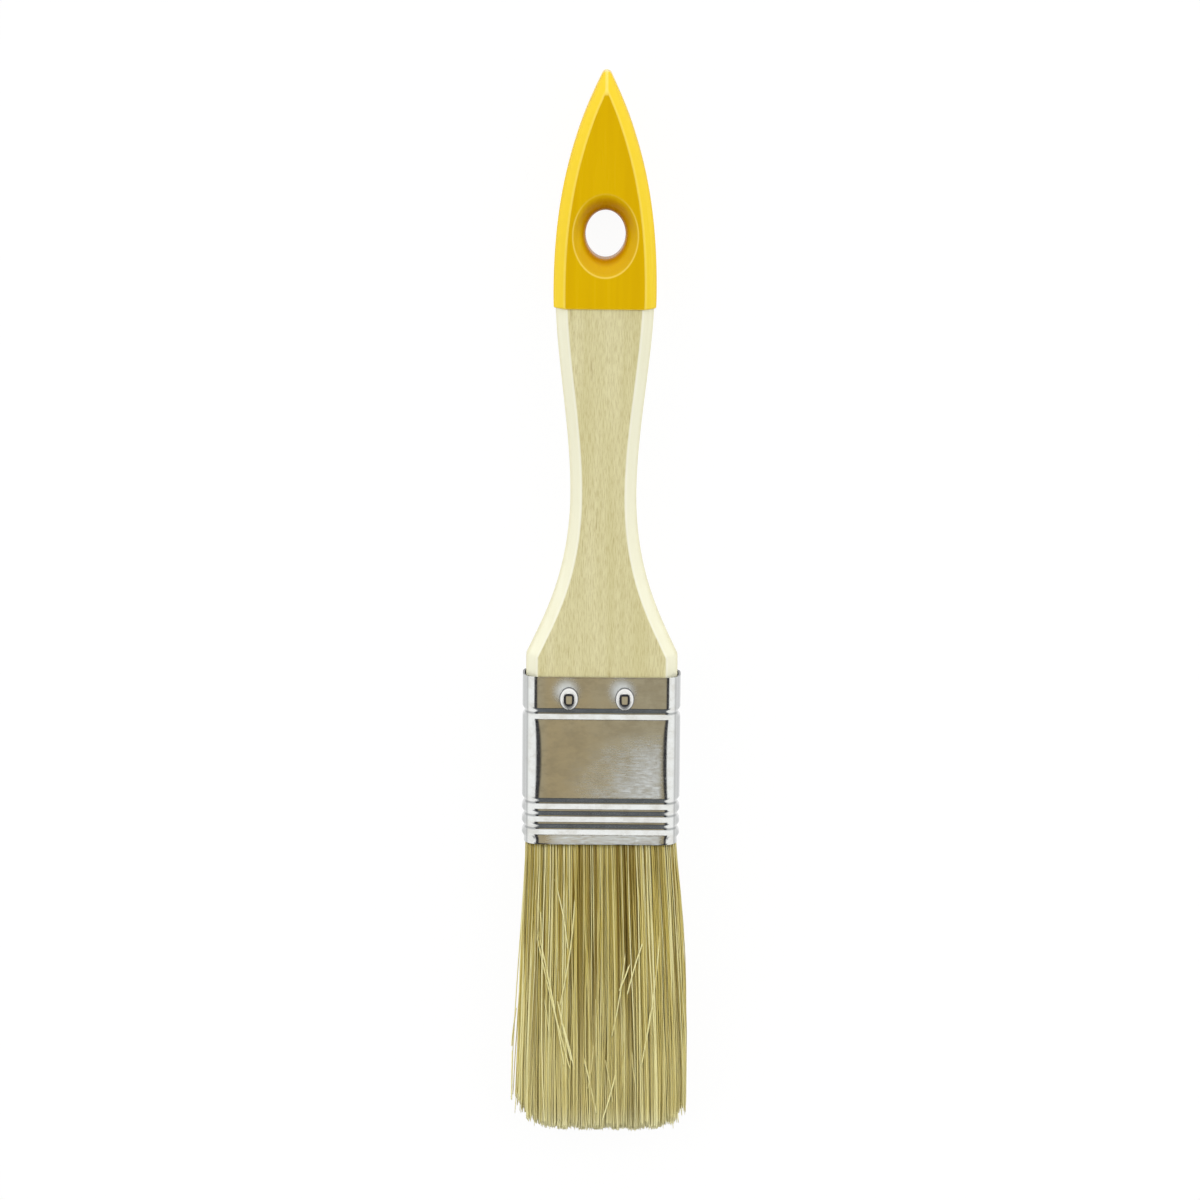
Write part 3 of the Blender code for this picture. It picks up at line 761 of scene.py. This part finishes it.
# %% Ferrule section
FERRULE_WALL = 0.35 * MM
LIP_GROOVES = [LIP_Y + rise * MM for rise in (2.65, 4.89, 7.13)]
LIP_FACE_INSET = 0.05 * MM
LIP_CORNER_INSET = 0.38 * MM
LIP_ROLL = 0.25 * MM
RIM_ROLL = 0.30 * MM
LIP_DRAW = (1.6 * MM, 0.8 * MM)
CORNER_FADE = (1.0 * MM, -4.0 * MM)
CORNER_WIDTH = 3.05 * MM
CORNER_BULGE = 0.65 * MM
RIGHT_CORNER_GAIN = 0.2 * MM
LEFT_CORNER_EXTRA = 0.2 * MM
LEFT_CORNER_GAIN = 0.45 * MM
CORNER_DEPTH = 3.8 * MM
CORNER_POWER = 2.0 / 2.4
CORNER_STEPS = 22
PANEL_STEPS = 56
SIDE_STEPS = 4
PANEL_SWELL = 0.10 * MM
PANEL_EDGE = 3 * MM
FACE_FADE = (1.2 * MM, 0.5 * MM)
LIP_ROWS = (0.0, 0.08, 0.18, 0.3, 0.45, 0.65, 0.8, 0.95, 1.1, 1.25, 1.4)
RIM_ROWS = (0.30, 0.24, 0.18, 0.12, 0.06, 0.0)
GROOVE_ROWS = 9
PANEL_ROWS = 34
TOP_ROWS = 28
NEAREST_ROWS = 0.03 * MM
NAIL_BOSS = 0.28 * MM
NAIL_BOSS_REACH = 2.0 * MM
NAIL_DROP = Vector((0.0, -0.3 * MM, 0.0))
RIM_FACE_INSET = 0.02 * MM
NAIL_NODES = ("nail_front_left", "nail_front_right", "nail_rear_left", "nail_rear_right")
PANEL_MIDDLE_Y = (LIP_GROOVES[-1] + RIM_GROOVE_Y) / 2


def nail_centre(node):
    low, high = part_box(node)
    return (low + high) / 2 + NAIL_DROP


nail_centres = [nail_centre(node) for node in NAIL_NODES[:2]]


def smooth_step(value, start, end):
    share = min(max((value - start) / (end - start), 0.0), 1.0)
    return share * share * (3 - 2 * share)


def pressed_in(y):
    """How far the flat faces are pressed in at a height."""
    depth = LIP_FACE_INSET * smooth_step(y - LIP_Y, LIP_ROLL, 0.0)
    depth += RIM_FACE_INSET * smooth_step(y - RIM_Y, -RIM_ROLL, 0.0)
    return max([depth] + [hollow(y, centre) for centre in LIP_GROOVES + [RIM_GROOVE_Y]])


def sleeve_quarter(width, thick, corner_x, corner_z):
    """(x, z) from the middle of one side, round its corner, to near the middle of the flat face."""
    points = [(width, (thick - corner_z) * step / SIDE_STEPS) for step in range(SIDE_STEPS)]
    for step in range(CORNER_STEPS + 1):
        angle = math.pi / 2 * step / CORNER_STEPS
        out_x = max(math.cos(angle), 0.0) ** CORNER_POWER
        out_z = math.sin(angle) ** CORNER_POWER
        points.append((width - corner_x * (1 - out_x), thick - corner_z * (1 - out_z)))
    flat = width - corner_x
    return points + [(flat * (1 - step / PANEL_STEPS * 2), thick) for step in range(1, PANEL_STEPS // 2)]


def sleeve_section(y):
    """(x, z) round the sleeve at one height, without the swell and the bosses."""
    inset = pressed_in(y)
    drawn_in = max(inset, LIP_CORNER_INSET * smooth_step(y - LIP_Y, *LIP_DRAW))
    reach = min(abs(y - PANEL_MIDDLE_Y) / (RIM_GROOVE_Y - PANEL_MIDDLE_Y), 1.0)
    corner_x = CORNER_WIDTH + CORNER_BULGE * (1 - reach * reach) - drawn_in
    corner_z = CORNER_DEPTH - inset
    width = FERRULE_HALF_WIDTH - drawn_in
    thick = FERRULE_HALF_THICKNESS - inset
    below_rim = smooth_step(y - RIM_GROOVE_Y, *CORNER_FADE)
    right = sleeve_quarter(width, thick, corner_x + RIGHT_CORNER_GAIN * below_rim, corner_z)
    left_x = corner_x + LEFT_CORNER_EXTRA + LEFT_CORNER_GAIN * below_rim
    left = sleeve_quarter(width, thick, left_x, corner_z)
    half = right + [(0.0, thick)] + [(-x, z) for x, z in reversed(left)][:-1]
    return half + [(-x, -z) for x, z in half]


def raised(x, y):
    """Height of the swell and the nail bosses over the flat face."""
    half_panel = RIM_GROOVE_Y - GROOVE_HALF - PANEL_MIDDLE_Y
    along_panel = min(abs(y - PANEL_MIDDLE_Y) / half_panel, 1.0)
    across_panel = min(abs(x) / (FERRULE_HALF_WIDTH - PANEL_EDGE), 1.0)
    height_out = PANEL_SWELL * (1 - along_panel**2) * (1 - across_panel**2)
    for centre in nail_centres:
        reach = math.hypot(x - centre.x, y - centre.y) / NAIL_BOSS_REACH
        height_out += NAIL_BOSS * math.exp(-reach * reach)
    return height_out


def sleeve_heights():
    """Rows close together in the grooves and wide apart on the panel."""
    heights = [LIP_Y + rise * MM for rise in LIP_ROWS] + [RIM_Y - fall * MM for fall in RIM_ROWS]
    for centre in LIP_GROOVES + [RIM_GROOVE_Y]:
        steps = range(-GROOVE_ROWS, GROOVE_ROWS + 1)
        heights += [centre + GROOVE_HALF * step / GROOVE_ROWS for step in steps]
    panel = (LIP_GROOVES[-1] + GROOVE_HALF, RIM_GROOVE_Y - GROOVE_HALF, PANEL_ROWS)
    top = (RIM_GROOVE_Y + GROOVE_HALF, RIM_Y, TOP_ROWS)
    for low_y, high_y, rows in (panel, top):
        heights += [low_y + (high_y - low_y) * step / rows for step in range(1, rows)]
    kept = []
    for y in sorted(heights):
        if not kept or y - kept[-1] > NEAREST_ROWS:
            kept.append(y)
    return kept


# %% [markdown]
# ## The ferrule's finish
# Tinned steel is bright but not a mirror: handling leaves fine cross scratches and a rubbed, satin patch
# low on one half. The other half is painted warm, a painted reflection of warm surroundings. Painted
# shade darkens the grooves where they round the corners, the sides are painted greyer with a painted dark
# line down each, each nail has a painted highlight above it, and painted shade makes the inside of the
# sleeve dark.

# %% Ferrule finish
BRIGHT_STEEL = (0.85, 0.86, 0.85, 1.0)
WARM_REFLECTION_STEEL = (0.87, 0.81, 0.685, 1.0)
DULL_STEEL = (0.62, 0.59, 0.53, 1.0)
SIDE_SHADE_STEEL = (0.54, 0.55, 0.55, 1.0)
DARK_LINE_STEEL = (0.36, 0.37, 0.37, 1.0)
GROOVE_SHADE = (0.30, 0.31, 0.31, 1.0)
SATIN_AND_SHEEN_STEEL = (0.95, 0.99, 1.0, 1.0)
INSIDE_SHADE_STEEL = (0.05, 0.05, 0.05, 1.0)


def from_line(axes, y):
    """Distance along the brush from one height."""
    return absolute(minus(axes["Y"], y))


def smooth_face_mask(axes, up):
    """0 in the grooved zones and 1 on the rest of the sleeve."""
    lip_grooves = all_of(band(up, 1.5 * MM, 1.8 * MM), band(up, 8.3 * MM, 8.0 * MM))
    rim_groove = band(from_line(axes, RIM_GROOVE_Y), GROOVE_HALF, 0.8 * GROOVE_HALF)
    return minus(1.0, larger(lip_grooves, rim_groove))


def sheen_mask(axes, centre):
    """A round painted highlight a little above and to the left of a nail."""
    aside = minus(axes["X"], centre.x - 0.5 * MM)
    above = minus(axes["Y"], centre.y + 1.2 * MM)
    squares = scaled(aside, aside, math_node("MULTIPLY", above, above))
    return band(math_node("SQRT", squares), 3.2 * MM, 0.4 * MM)


def make_ferrule_metal():
    material, shader = new_material("tinned steel")
    axes = coordinate_axes()
    out = absolute(axes["X"])
    up = minus(axes["Y"], LIP_Y)
    smooth_face = smooth_face_mask(axes, up)
    cloudy = noise((1.0, 1.0, 1.0), 240.0, 3.0, 0.6)
    scratches = noise((0.22, 1.6, 1.0), 2600.0, 4.0, 0.7)
    blotches = noise((0.7, 1.0, 1.0), 420.0, 4.0, 0.65)
    wander = scaled(cloudy, 12 * MM, -6 * MM)
    left = band(math_node("ADD", axes["X"], wander), 9 * MM, -9 * MM)
    on_face = band(out, 11.2 * MM, 8.6 * MM)
    # Painted reflection: the left half of each face is tinted warm, as if mirroring warm surroundings.
    colour = tint(BRIGHT_STEEL, WARM_REFLECTION_STEEL, left, on_face, smooth_face)
    colour = tint(colour, DULL_STEEL, band(blotches, 0.62, 0.30), 0.5)
    # Painted shade: the sides turn greyer towards the silhouette.
    colour = tint(colour, SIDE_SHADE_STEEL, band(out, 12.1 * MM, 13.2 * MM))
    # Painted dark line down each side, standing in for a dark reflection.
    past_dark_line = band(out, 12.40 * MM, 12.55 * MM)
    before_dark_line = band(out, 12.85 * MM, 12.70 * MM)
    colour = tint(colour, DARK_LINE_STEEL, past_dark_line, before_dark_line, 0.5)
    # Painted shade where each groove rounds a corner.
    from_groove = from_line(axes, RIM_GROOVE_Y)
    for y in LIP_GROOVES:
        from_groove = math_node("MINIMUM", from_groove, from_line(axes, y))
    at_corner = band(out, 10.8 * MM, 11.4 * MM)
    colour = tint(colour, GROOVE_SHADE, band(from_groove, 0.34 * MM, 0.06 * MM), at_corner, 0.7)
    slant = scaled(axes["Y"], -0.5, axes["X"])
    low_right = band(math_node("ADD", slant, wander), 6 * MM, 26 * MM)
    on_panel = band(axes["Y"], RIM_GROOVE_Y - 1.5 * MM, RIM_GROOVE_Y - 8 * MM)
    patch = all_of(low_right, on_panel, smooth_face, band(out, 10.9 * MM, 9.6 * MM))
    at_lip = all_of(band(up, 1.8 * MM, 1.5 * MM), band(out, 10.4 * MM, 7.0 * MM))
    streaks = scaled(band(scratches, 0.35, 0.70), 0.55, 0.45)
    wear_and_sheen = all_of(larger(patch, at_lip), streaks)
    # The satin patch and the lip's strip are wear; the glow above each nail is a painted highlight in the
    # same mask.
    for centre in nail_centres:
        sheen = all_of(sheen_mask(axes, centre), 0.9, smooth_face)
        wear_and_sheen = larger(wear_and_sheen, sheen)
    colour = tint(colour, SATIN_AND_SHEEN_STEEL, wear_and_sheen)
    # Painted shade: faces that look into the sleeve are nearly black.
    normal = coordinate_axes("Normal")
    off_middle = minus(axes["Z"], MID_Z)
    outwards = math_node("MULTIPLY", normal["Z"], off_middle)
    outwards = scaled(normal["X"], axes["X"], outwards)
    colour = tint(colour, INSIDE_SHADE_STEEL, band(outwards, -0.2 * MM, -0.5 * MM))
    metallic = scaled(wear_and_sheen, -0.34, 1.0)
    rough = scaled(band(scratches, 0.3, 0.8), 0.12, 0.11)
    rough = scaled(wear_and_sheen, 0.50, rough)
    feed_all(shader, {"Base Color": colour, "Metallic": metallic, "Roughness": rough})
    add_bump(shader, scratches, 0.004 * MM, 0.5)
    return material


# %% Ferrule
fade_start, fade_end = [FERRULE_HALF_THICKNESS - fall for fall in FACE_FADE]
sleeve_rings = []
for y in sleeve_heights():
    ring = []
    for x, z in sleeve_section(y):
        on_face = smooth_step(abs(z), fade_start, fade_end)
        ring.append(Vector((x, y, MID_Z + z + math.copysign(raised(x, y) * on_face, z))))
    sleeve_rings.append(ring)
ferrule = wrapped_grid("ferrule_sleeve", sleeve_rings, cap_ends=False)
apply_modifier(ferrule, "SOLIDIFY", thickness=FERRULE_WALL, offset=-1.0, use_even_offset=True)
smooth_by_angle(ferrule, 50)
finish_piece(ferrule, "ferrule", make_ferrule_metal())

# %% [markdown]
# ## The nails
# Four small nails with bright domed heads hold the ferrule to the tang. One profile is turned round each
# nail's axis: a low dome with a rounded rim, a shank and a point. The crown is a mirror and the rim is
# worn to satin, with a painted shadow along its edge, so each point of a nail keeps how far out on the
# head it lies.


# %% Nail finish
def make_nail_metal():
    material, shader = new_material("bright nail steel")
    cloudy = noise((1.0, 1.0, 1.0), 1500.0, 2.0, 0.5)
    reach = stored_value("head_reach")
    colour = mix_colour(cloudy, (0.90, 0.89, 0.87, 1.0), (0.98, 0.98, 0.97, 1.0))
    # Painted shadow: a dark ring at the edge of the head.
    colour = tint(colour, (0.16, 0.16, 0.17, 1.0), band(reach, 0.87, 0.96))
    rough = scaled(cloudy, 0.06, 0.05)
    rough = scaled(band(reach, 0.48, 0.75), 0.32, rough)
    feed_all(shader, {"Base Color": colour, "Metallic": 1.0, "Roughness": rough})
    return material


# %% Nails
NAIL_COLUMNS = 40
NAIL_SHANK = 0.7 * MM
NAIL_POINT = 0.8 * MM
NAIL_TIP = 0.05 * MM
HEAD_SKIRT = 0.14 * MM
HEAD_LIFT = 0.12 * MM
HEAD_STRETCH = 1.08
HEAD_SKIRT_ROWS = ((0.0, 0.93), (0.4, 0.985))
DOME_STEPS = 12
DOME_LAST_ANGLE = math.radians(88)


def store_value(mesh, name, values):
    """Keep one value for each point of a mesh."""
    mesh.attributes.new(name, "FLOAT", "POINT").data.foreach_set("value", values)


def model_nail(low, high):
    """One nail on the upright axis, head upwards, with its height measured from the brush's middle."""
    half = Vector((high.x - low.x, (high.y - low.y) * HEAD_STRETCH)) / 2
    point = low.z - MID_Z
    seat = FERRULE_HALF_THICKNESS + HEAD_LIFT
    dome = high.z - MID_Z - seat - HEAD_SKIRT
    shank = Vector((NAIL_SHANK, NAIL_SHANK))
    profile = [(point, Vector((NAIL_TIP, NAIL_TIP))), (point + NAIL_POINT, shank), (seat, shank)]
    profile += [(seat + HEAD_SKIRT * rise, half * share) for rise, share in HEAD_SKIRT_ROWS]
    for step in range(DOME_STEPS + 1):
        angle = DOME_LAST_ANGLE * step / DOME_STEPS
        profile.append((seat + HEAD_SKIRT + dome * math.sin(angle), half * math.cos(angle)))
    rings = [oval_ring(radii, NAIL_COLUMNS, 0.0, z) for z, radii in profile]
    nail = wrapped_grid("pattern_nail", rings)
    reaches = [math.hypot(v.co.x / half.x, v.co.y / half.y) for v in nail.data.vertices]
    store_value(nail.data, "head_reach", reaches)
    smooth_by_angle(nail, 45)
    return nail


nail_metal = make_nail_metal()
pattern_nail = model_nail(*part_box(NAIL_NODES[0]))
for node in NAIL_NODES:
    centre = nail_centre(node)
    place = Matrix.Translation((centre.x, centre.y, MID_Z))
    if centre.z < MID_Z:
        place = place @ Matrix.Rotation(math.pi, 4, "X")
    nail = pattern_nail.copy()
    nail.data = pattern_nail.data.copy()
    nail.name = nail.data.name = f"{node}_domed"
    bpy.context.scene.collection.objects.link(nail)
    nail.data.transform(place)
    finish_piece(nail, node, nail_metal)
bpy.data.objects.remove(pattern_nail, do_unlink=True)

# %% [markdown]
# ## The bristles' finish
# Hog hair runs from brown through straw to cream, and frayed tips are palest, partly by a painted
# highlight. Painted shade darkens the hairs just under the lip. Each hair carries two values for its
# finish: its own tone, and how far along the hair a point lies.


# %% Hair finish
def make_hair():
    material, shader = new_material("hog hair")
    tone = stored_value("hair_tone")
    along_hair = stored_value("hair_along")
    colour = mix_colour(band(tone, 0.0, 0.5), rgb(142, 117, 36), rgb(222, 204, 112))
    colour = tint(colour, rgb(255, 249, 190), band(tone, 0.5, 1.0))
    # Paler towards the tips: partly the hair's own colour, partly painted light on the frayed ends.
    colour = tint(colour, rgb(252, 243, 178), band(along_hair, 0.25, 1.0), 0.50)
    colour = tint(colour, rgb(255, 253, 214), band(along_hair, 0.90, 0.99), 0.50)
    # Painted shade on the hairs just under the lip.
    colour = tint(colour, rgb(140, 116, 48), band(along_hair, 0.30, 0.0), 0.22)
    rough = scaled(tone, -0.12, 0.45)
    feed_all(shader, {"Base Color": colour, "Roughness": rough, "Specular IOR Level": 0.5})
    return material


# %% [markdown]
# ## The bristles
# Thousands of hairs leave the lip side by side, fan out a little, lean to the right and end in ragged
# tips. Each hair is a three-sided tapered tube of about thirty faces, bends its own way and gathers with
# its neighbours into a lock. A few strays lie slantwise over the rest, as on any used brush.

# %% Place the hairs
HAIRS_IN_PACK = 2600
HAIR_ROWS = 10
HAIR_STATIONS = np.append(np.linspace(0, 0.984, HAIR_ROWS - 1), 1.0)
HAIR_RADIUS = 0.115 * MM
HAIR_RADIUS_SPREAD = (0.65, 1.30)
ROOT_Y = LIP_Y + 2.5 * MM
BRISTLE_LENGTH = LIP_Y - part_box("bristle_pack_front")[0].y
LIP_HALF_WIDTH = FERRULE_HALF_WIDTH - LIP_CORNER_INSET - FERRULE_WALL
LIP_CLEARANCE = 0.15 * MM
LIP_HALF_THICKNESS = FERRULE_HALF_THICKNESS - LIP_FACE_INSET - FERRULE_WALL - LIP_CLEARANCE
FAN_HALF_WIDTH = 14.50 * MM
FAN_OPEN_AT = 0.80
FAN_BELLY = 0.55 * MM
FAN_THINNING = 0.7 * MM
FAN_CORNER = 0.20
CORNER_DEPTH_SHARE = 0.35
FAN_LEAN = 0.80 * MM
LAYERS = 4
LAYER_OFFSET = 0.37
LAYER_KEY = 1000
LOCKS_ACROSS = 24
LOCK_SCATTER = 0.3
LOCK_LEAN = 0.34 * MM
LOCK_SHORTFALL = 0.30 * MM
LOCK_TONE = 0.12
LOCK_PULL = 0.7
HAIR_LEAN = 0.32 * MM
HAIR_SHORTFALL = 0.32 * MM
WILD_SHARE = 0.08
WILD_LEAN = 1.5 * MM
TIP_GAP = 0.25 * MM
LEAST_TIP_GAP = 0.05 * MM
LEAST_LENGTH = 0.6 * BRISTLE_LENGTH
TIP_ROUNDING = 5.8 * MM
HAIR_TONE = (0.41, 0.38)
HAIR_BOW = 0.22 * MM
HAIR_WAVE = 0.10 * MM
HAIR_RISE = 0.16 * MM
LEAST_HEIGHT = 0.08 * MM
STRAY_SINK = 0.5 * MM
STRAY_SINK_SHARE = 0.2
STRAY_LIFT = 0.12 * MM
STRAY_EDGE = 1.02 * FAN_HALF_WIDTH
STRAY_EDGE_DROP = 0.55
REACH_LIMIT = min(-cad_low.x, cad_high.x)
EDGE_CROWDING = 0.35 * MM
# Strays: across and down at the start, across and down at the end, and the bow between, in millimetres.
STRAYS = (
    (-7.8, 6.0, -5.4, 18.4, 0.3), (-4.2, 7.8, -6.7, 28.5, 0.5), (-12.2, 8.8, -4.9, 40.0, -0.4),
    (-11.6, 10.8, -5.9, 39.3, 0.3), (7.9, 16.0, 4.9, 26.4, -0.2), (4.5, 18.8, 2.3, 34.0, 0.2),
    (10.5, 13.0, 7.4, 39.3, 0.5), (-9.5, 27.0, -8.5, 34.0, 0.1), (-14.3, 29.6, -15.1, 36.4, 0.0),
    (14.9, 38.0, 15.1, 46.9, 0.0), (-2.8, 37.0, -0.3, 47.8, 0.1), (3.5, 38.8, 0.8, 49.0, 0.1),
    (9.0, 28.5, 7.7, 37.4, 0.1), (-7.3, 26.8, -4.7, 38.4, -0.1), (-6.4, 31.1, -4.1, 40.1, 0.1),
    (-0.8, 34.1, -1.8, 43.4, 0.2), (1.2, 38.4, 2.5, 45.7, 0.1), (5.7, 35.8, 6.4, 42.4, -0.1),
    (5.4, 20.5, 3.5, 25.8, 0.1), (-10.4, 10.2, -10.1, 17.9, 0.2), (11.9, 17.9, 11.1, 21.5, 0.2),
)


def fan_half_width(below):
    """Half-width of the fan at a share of the length below the lip."""
    opened = np.clip(below / FAN_OPEN_AT, 0, 1) ** 0.9
    return LIP_HALF_WIDTH + (FAN_HALF_WIDTH - LIP_HALF_WIDTH) * opened


def fan_half_thickness(below):
    """Half-thickness of the fan, which swells a little under the lip and thins towards the tips."""
    belly = FAN_BELLY * np.sin(np.clip(below * 1.3, 0, 1) * np.pi)
    return LIP_HALF_THICKNESS + belly - FAN_THINNING * below


def hair_lines(facing, chance):
    """Centre lines, radii and tones of one pack's hairs."""
    count = HAIRS_IN_PACK
    u = chance.uniform(-1, 1, count)
    v = chance.uniform(0.02, 1.0, count) ** 0.7
    past_flat = np.clip(np.abs(u) - (1 - FAN_CORNER), 0, 1) / FAN_CORNER
    corner = np.sqrt(np.clip(1 - past_flat**2, 0.02, 1))
    v = v * (CORNER_DEPTH_SHARE + (1 - CORNER_DEPTH_SHARE) * corner)
    layer = np.floor(v * LAYERS)
    shift = layer * LAYER_OFFSET
    lock_number = np.round(u * LOCKS_ACROSS + shift + chance.normal(0, LOCK_SCATTER, count))
    lock = (lock_number - shift) / LOCKS_ACROSS
    lock_keys, lock_of = np.unique(lock_number + layer * LAYER_KEY, return_inverse=True)
    lock_lean = chance.normal(0.0, LOCK_LEAN, len(lock_keys))
    lock_short = chance.gamma(1.0, LOCK_SHORTFALL, len(lock_keys))
    lean = lock_lean[lock_of] + chance.normal(0, HAIR_LEAN, count)
    wild = chance.random(count) < WILD_SHARE
    lean = np.where(wild, lean + chance.normal(0, WILD_LEAN, count), lean)
    rounding = TIP_ROUNDING * np.abs(u) ** 7
    length = BRISTLE_LENGTH - TIP_GAP - rounding - lock_short[lock_of]
    length -= (1.5 - v) * chance.gamma(1.0, HAIR_SHORTFALL, count)
    length = np.clip(length, LEAST_LENGTH, BRISTLE_LENGTH - LEAST_TIP_GAP)
    radius = HAIR_RADIUS * chance.uniform(*HAIR_RADIUS_SPREAD, count)
    lock_tone = chance.normal(0.0, LOCK_TONE, len(lock_keys))
    pale_side = 0.30 * np.abs(u) ** 3 - 0.12 * np.exp(-(((u - 0.3) / 0.25) ** 2))
    tone = np.clip(chance.normal(*HAIR_TONE, count) + lock_tone[lock_of] + pale_side, 0, 1)
    y = ROOT_Y - HAIR_STATIONS[None, :] * (length[:, None] + ROOT_Y - LIP_Y)
    below = np.clip((LIP_Y - y) / BRISTLE_LENGTH, 0, 1)
    pull = chance.uniform(0.0, LOCK_PULL, count)
    toward = ((lock - u) * pull)[:, None] * below**2
    bow = chance.normal(0, HAIR_BOW, count)[:, None] * np.sin(below * np.pi)
    wave = chance.normal(0, HAIR_WAVE, count)[:, None] * np.sin(below * 2 * np.pi)
    x = (u[:, None] + toward) * fan_half_width(below) + lean[:, None] * below**1.5
    x += bow + wave + FAN_LEAN * below**0.6
    rise = chance.normal(0, HAIR_RISE, count)[:, None] * below
    z = facing * np.maximum(v[:, None] * fan_half_thickness(below) + rise, LEAST_HEIGHT)
    return x, y, z, radius, tone


def stray_lines(facing, chance):
    """Centre lines of the strays that lie over the front or the rear of the fan."""
    t = HAIR_STATIONS[None, :]
    start_x, start_down, end_x, end_down, bow = np.hsplit(np.array(STRAYS) * MM, 5)
    x = facing * (start_x + (end_x - start_x) * t + bow * np.sin(t * np.pi))
    down = start_down + (end_down - start_down) * t
    sunk = STRAY_SINK * np.clip(1 - t / STRAY_SINK_SHARE, 0, 1)
    edge = np.clip(np.abs(x) / STRAY_EDGE, 0, 1) ** 6
    lifted = fan_half_thickness(down / BRISTLE_LENGTH) + STRAY_LIFT
    z = facing * (lifted * (1 - STRAY_EDGE_DROP * edge) - sunk)
    radius = HAIR_RADIUS * chance.uniform(1.15, 1.45, len(STRAYS))
    tone = chance.uniform(0.75, 1.0, len(STRAYS))
    return x, LIP_Y - down, z, radius, tone


# %% [markdown]
# ## One mesh for each pack
# Each centre line gets a ring of three points in every row. All the rings of a pack go into one mesh, and
# the two values of the finish are stored on its points.

# %% Grow the packs
HAIR_SIDES = 3
HAIR_TAPER = np.array([1.0, 1.0, 1.0, 1.0, 1.0, 1.0, 0.98, 0.96, 0.92, 0.60])
REACH_GAP = 0.01 * MM


def hair_faces(count):
    """Faces of all the tubes: quads along each hair and a cap at each end."""
    per_hair = HAIR_ROWS * HAIR_SIDES
    faces = []
    for start in range(0, count * per_hair, per_hair):
        for row in range(HAIR_ROWS - 1):
            for side in range(HAIR_SIDES):
                a = start + row * HAIR_SIDES + side
                b = start + row * HAIR_SIDES + (side + 1) % HAIR_SIDES
                faces.append((a, b, b + HAIR_SIDES, a + HAIR_SIDES))
        last = start + per_hair - HAIR_SIDES
        faces.append(tuple(start + side for side in reversed(range(HAIR_SIDES))))
        faces.append(tuple(last + side for side in range(HAIR_SIDES)))
    return faces


def grow_pack(name, facing, seed):
    chance = np.random.default_rng(seed)
    parts = zip(hair_lines(facing, chance), stray_lines(facing, chance))
    x, y, z, radius, tone = [np.concatenate(pair) for pair in parts]
    limit = REACH_LIMIT - radius[:, None] - REACH_GAP
    over = np.clip(np.abs(x) - limit + EDGE_CROWDING, 0, None)
    crowded = limit - EDGE_CROWDING * np.exp(-over / EDGE_CROWDING)
    x = np.where(over > 0, np.sign(x) * crowded, x)
    first_turn = chance.uniform(0, 2 * np.pi, len(radius))
    wide = radius[:, None] * HAIR_TAPER[None, :]
    rings = []
    for side in range(HAIR_SIDES):
        angle = (first_turn + 2 * np.pi * side / HAIR_SIDES)[:, None]
        rings.append(np.stack([x + np.cos(angle) * wide, y, MID_Z + z + np.sin(angle) * wide], axis=-1))
    points = np.stack(rings, axis=2).reshape(-1, 3)
    mesh = bpy.data.meshes.new(name)
    mesh.from_pydata(points.tolist(), [], hair_faces(len(radius)))
    below = np.clip((LIP_Y - y) / BRISTLE_LENGTH, 0, 1).reshape(-1)
    store_value(mesh, "hair_tone", np.repeat(tone, HAIR_ROWS * HAIR_SIDES).astype(np.float32))
    store_value(mesh, "hair_along", np.repeat(below, HAIR_SIDES).astype(np.float32))
    mesh.polygons.foreach_set("use_smooth", [face.loop_total == 4 for face in mesh.polygons])
    pack = bpy.data.objects.new(name, mesh)
    bpy.context.scene.collection.objects.link(pack)
    make_active(pack)
    bpy.ops.object.mode_set(mode="EDIT")
    face_outwards()
    return pack


hair_finish = make_hair()
for node, facing, seed in (("bristle_pack_front", 1, 11), ("bristle_pack_rear", -1, 12)):
    finish_piece(grow_pack(f"{node}_hairs", facing, seed), node, hair_finish)

# %% [markdown]
# ## Inside the ferrule
# The poured setting and the plug between the packs are hidden, so their solids stay as they are. They
# still get a finish, for anyone who takes the brush apart.


# %% Inner finishes
def make_inner(name, dark, light, scale):
    material, shader = new_material(name)
    clouds = noise((1.0, 0.3, 1.0), scale, 3.0, 0.6)
    colour = mix_colour(clouds, dark, light)
    rough = scaled(clouds, 0.3, 0.4)
    feed_all(shader, {"Base Color": colour, "Roughness": rough})
    return material


inner_finishes = {
    "resin_setting": make_inner("set resin", rgb(130, 96, 50), rgb(168, 128, 74), 500.0),
    "spacer_plug": make_inner("plug wood", rgb(176, 150, 112), rgb(204, 180, 144), 900.0),
}
for node, material in inner_finishes.items():
    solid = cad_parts[node]
    solid.data.materials.clear()
    solid.data.materials.append(material)
print("inner finishes on", sorted(inner_finishes))
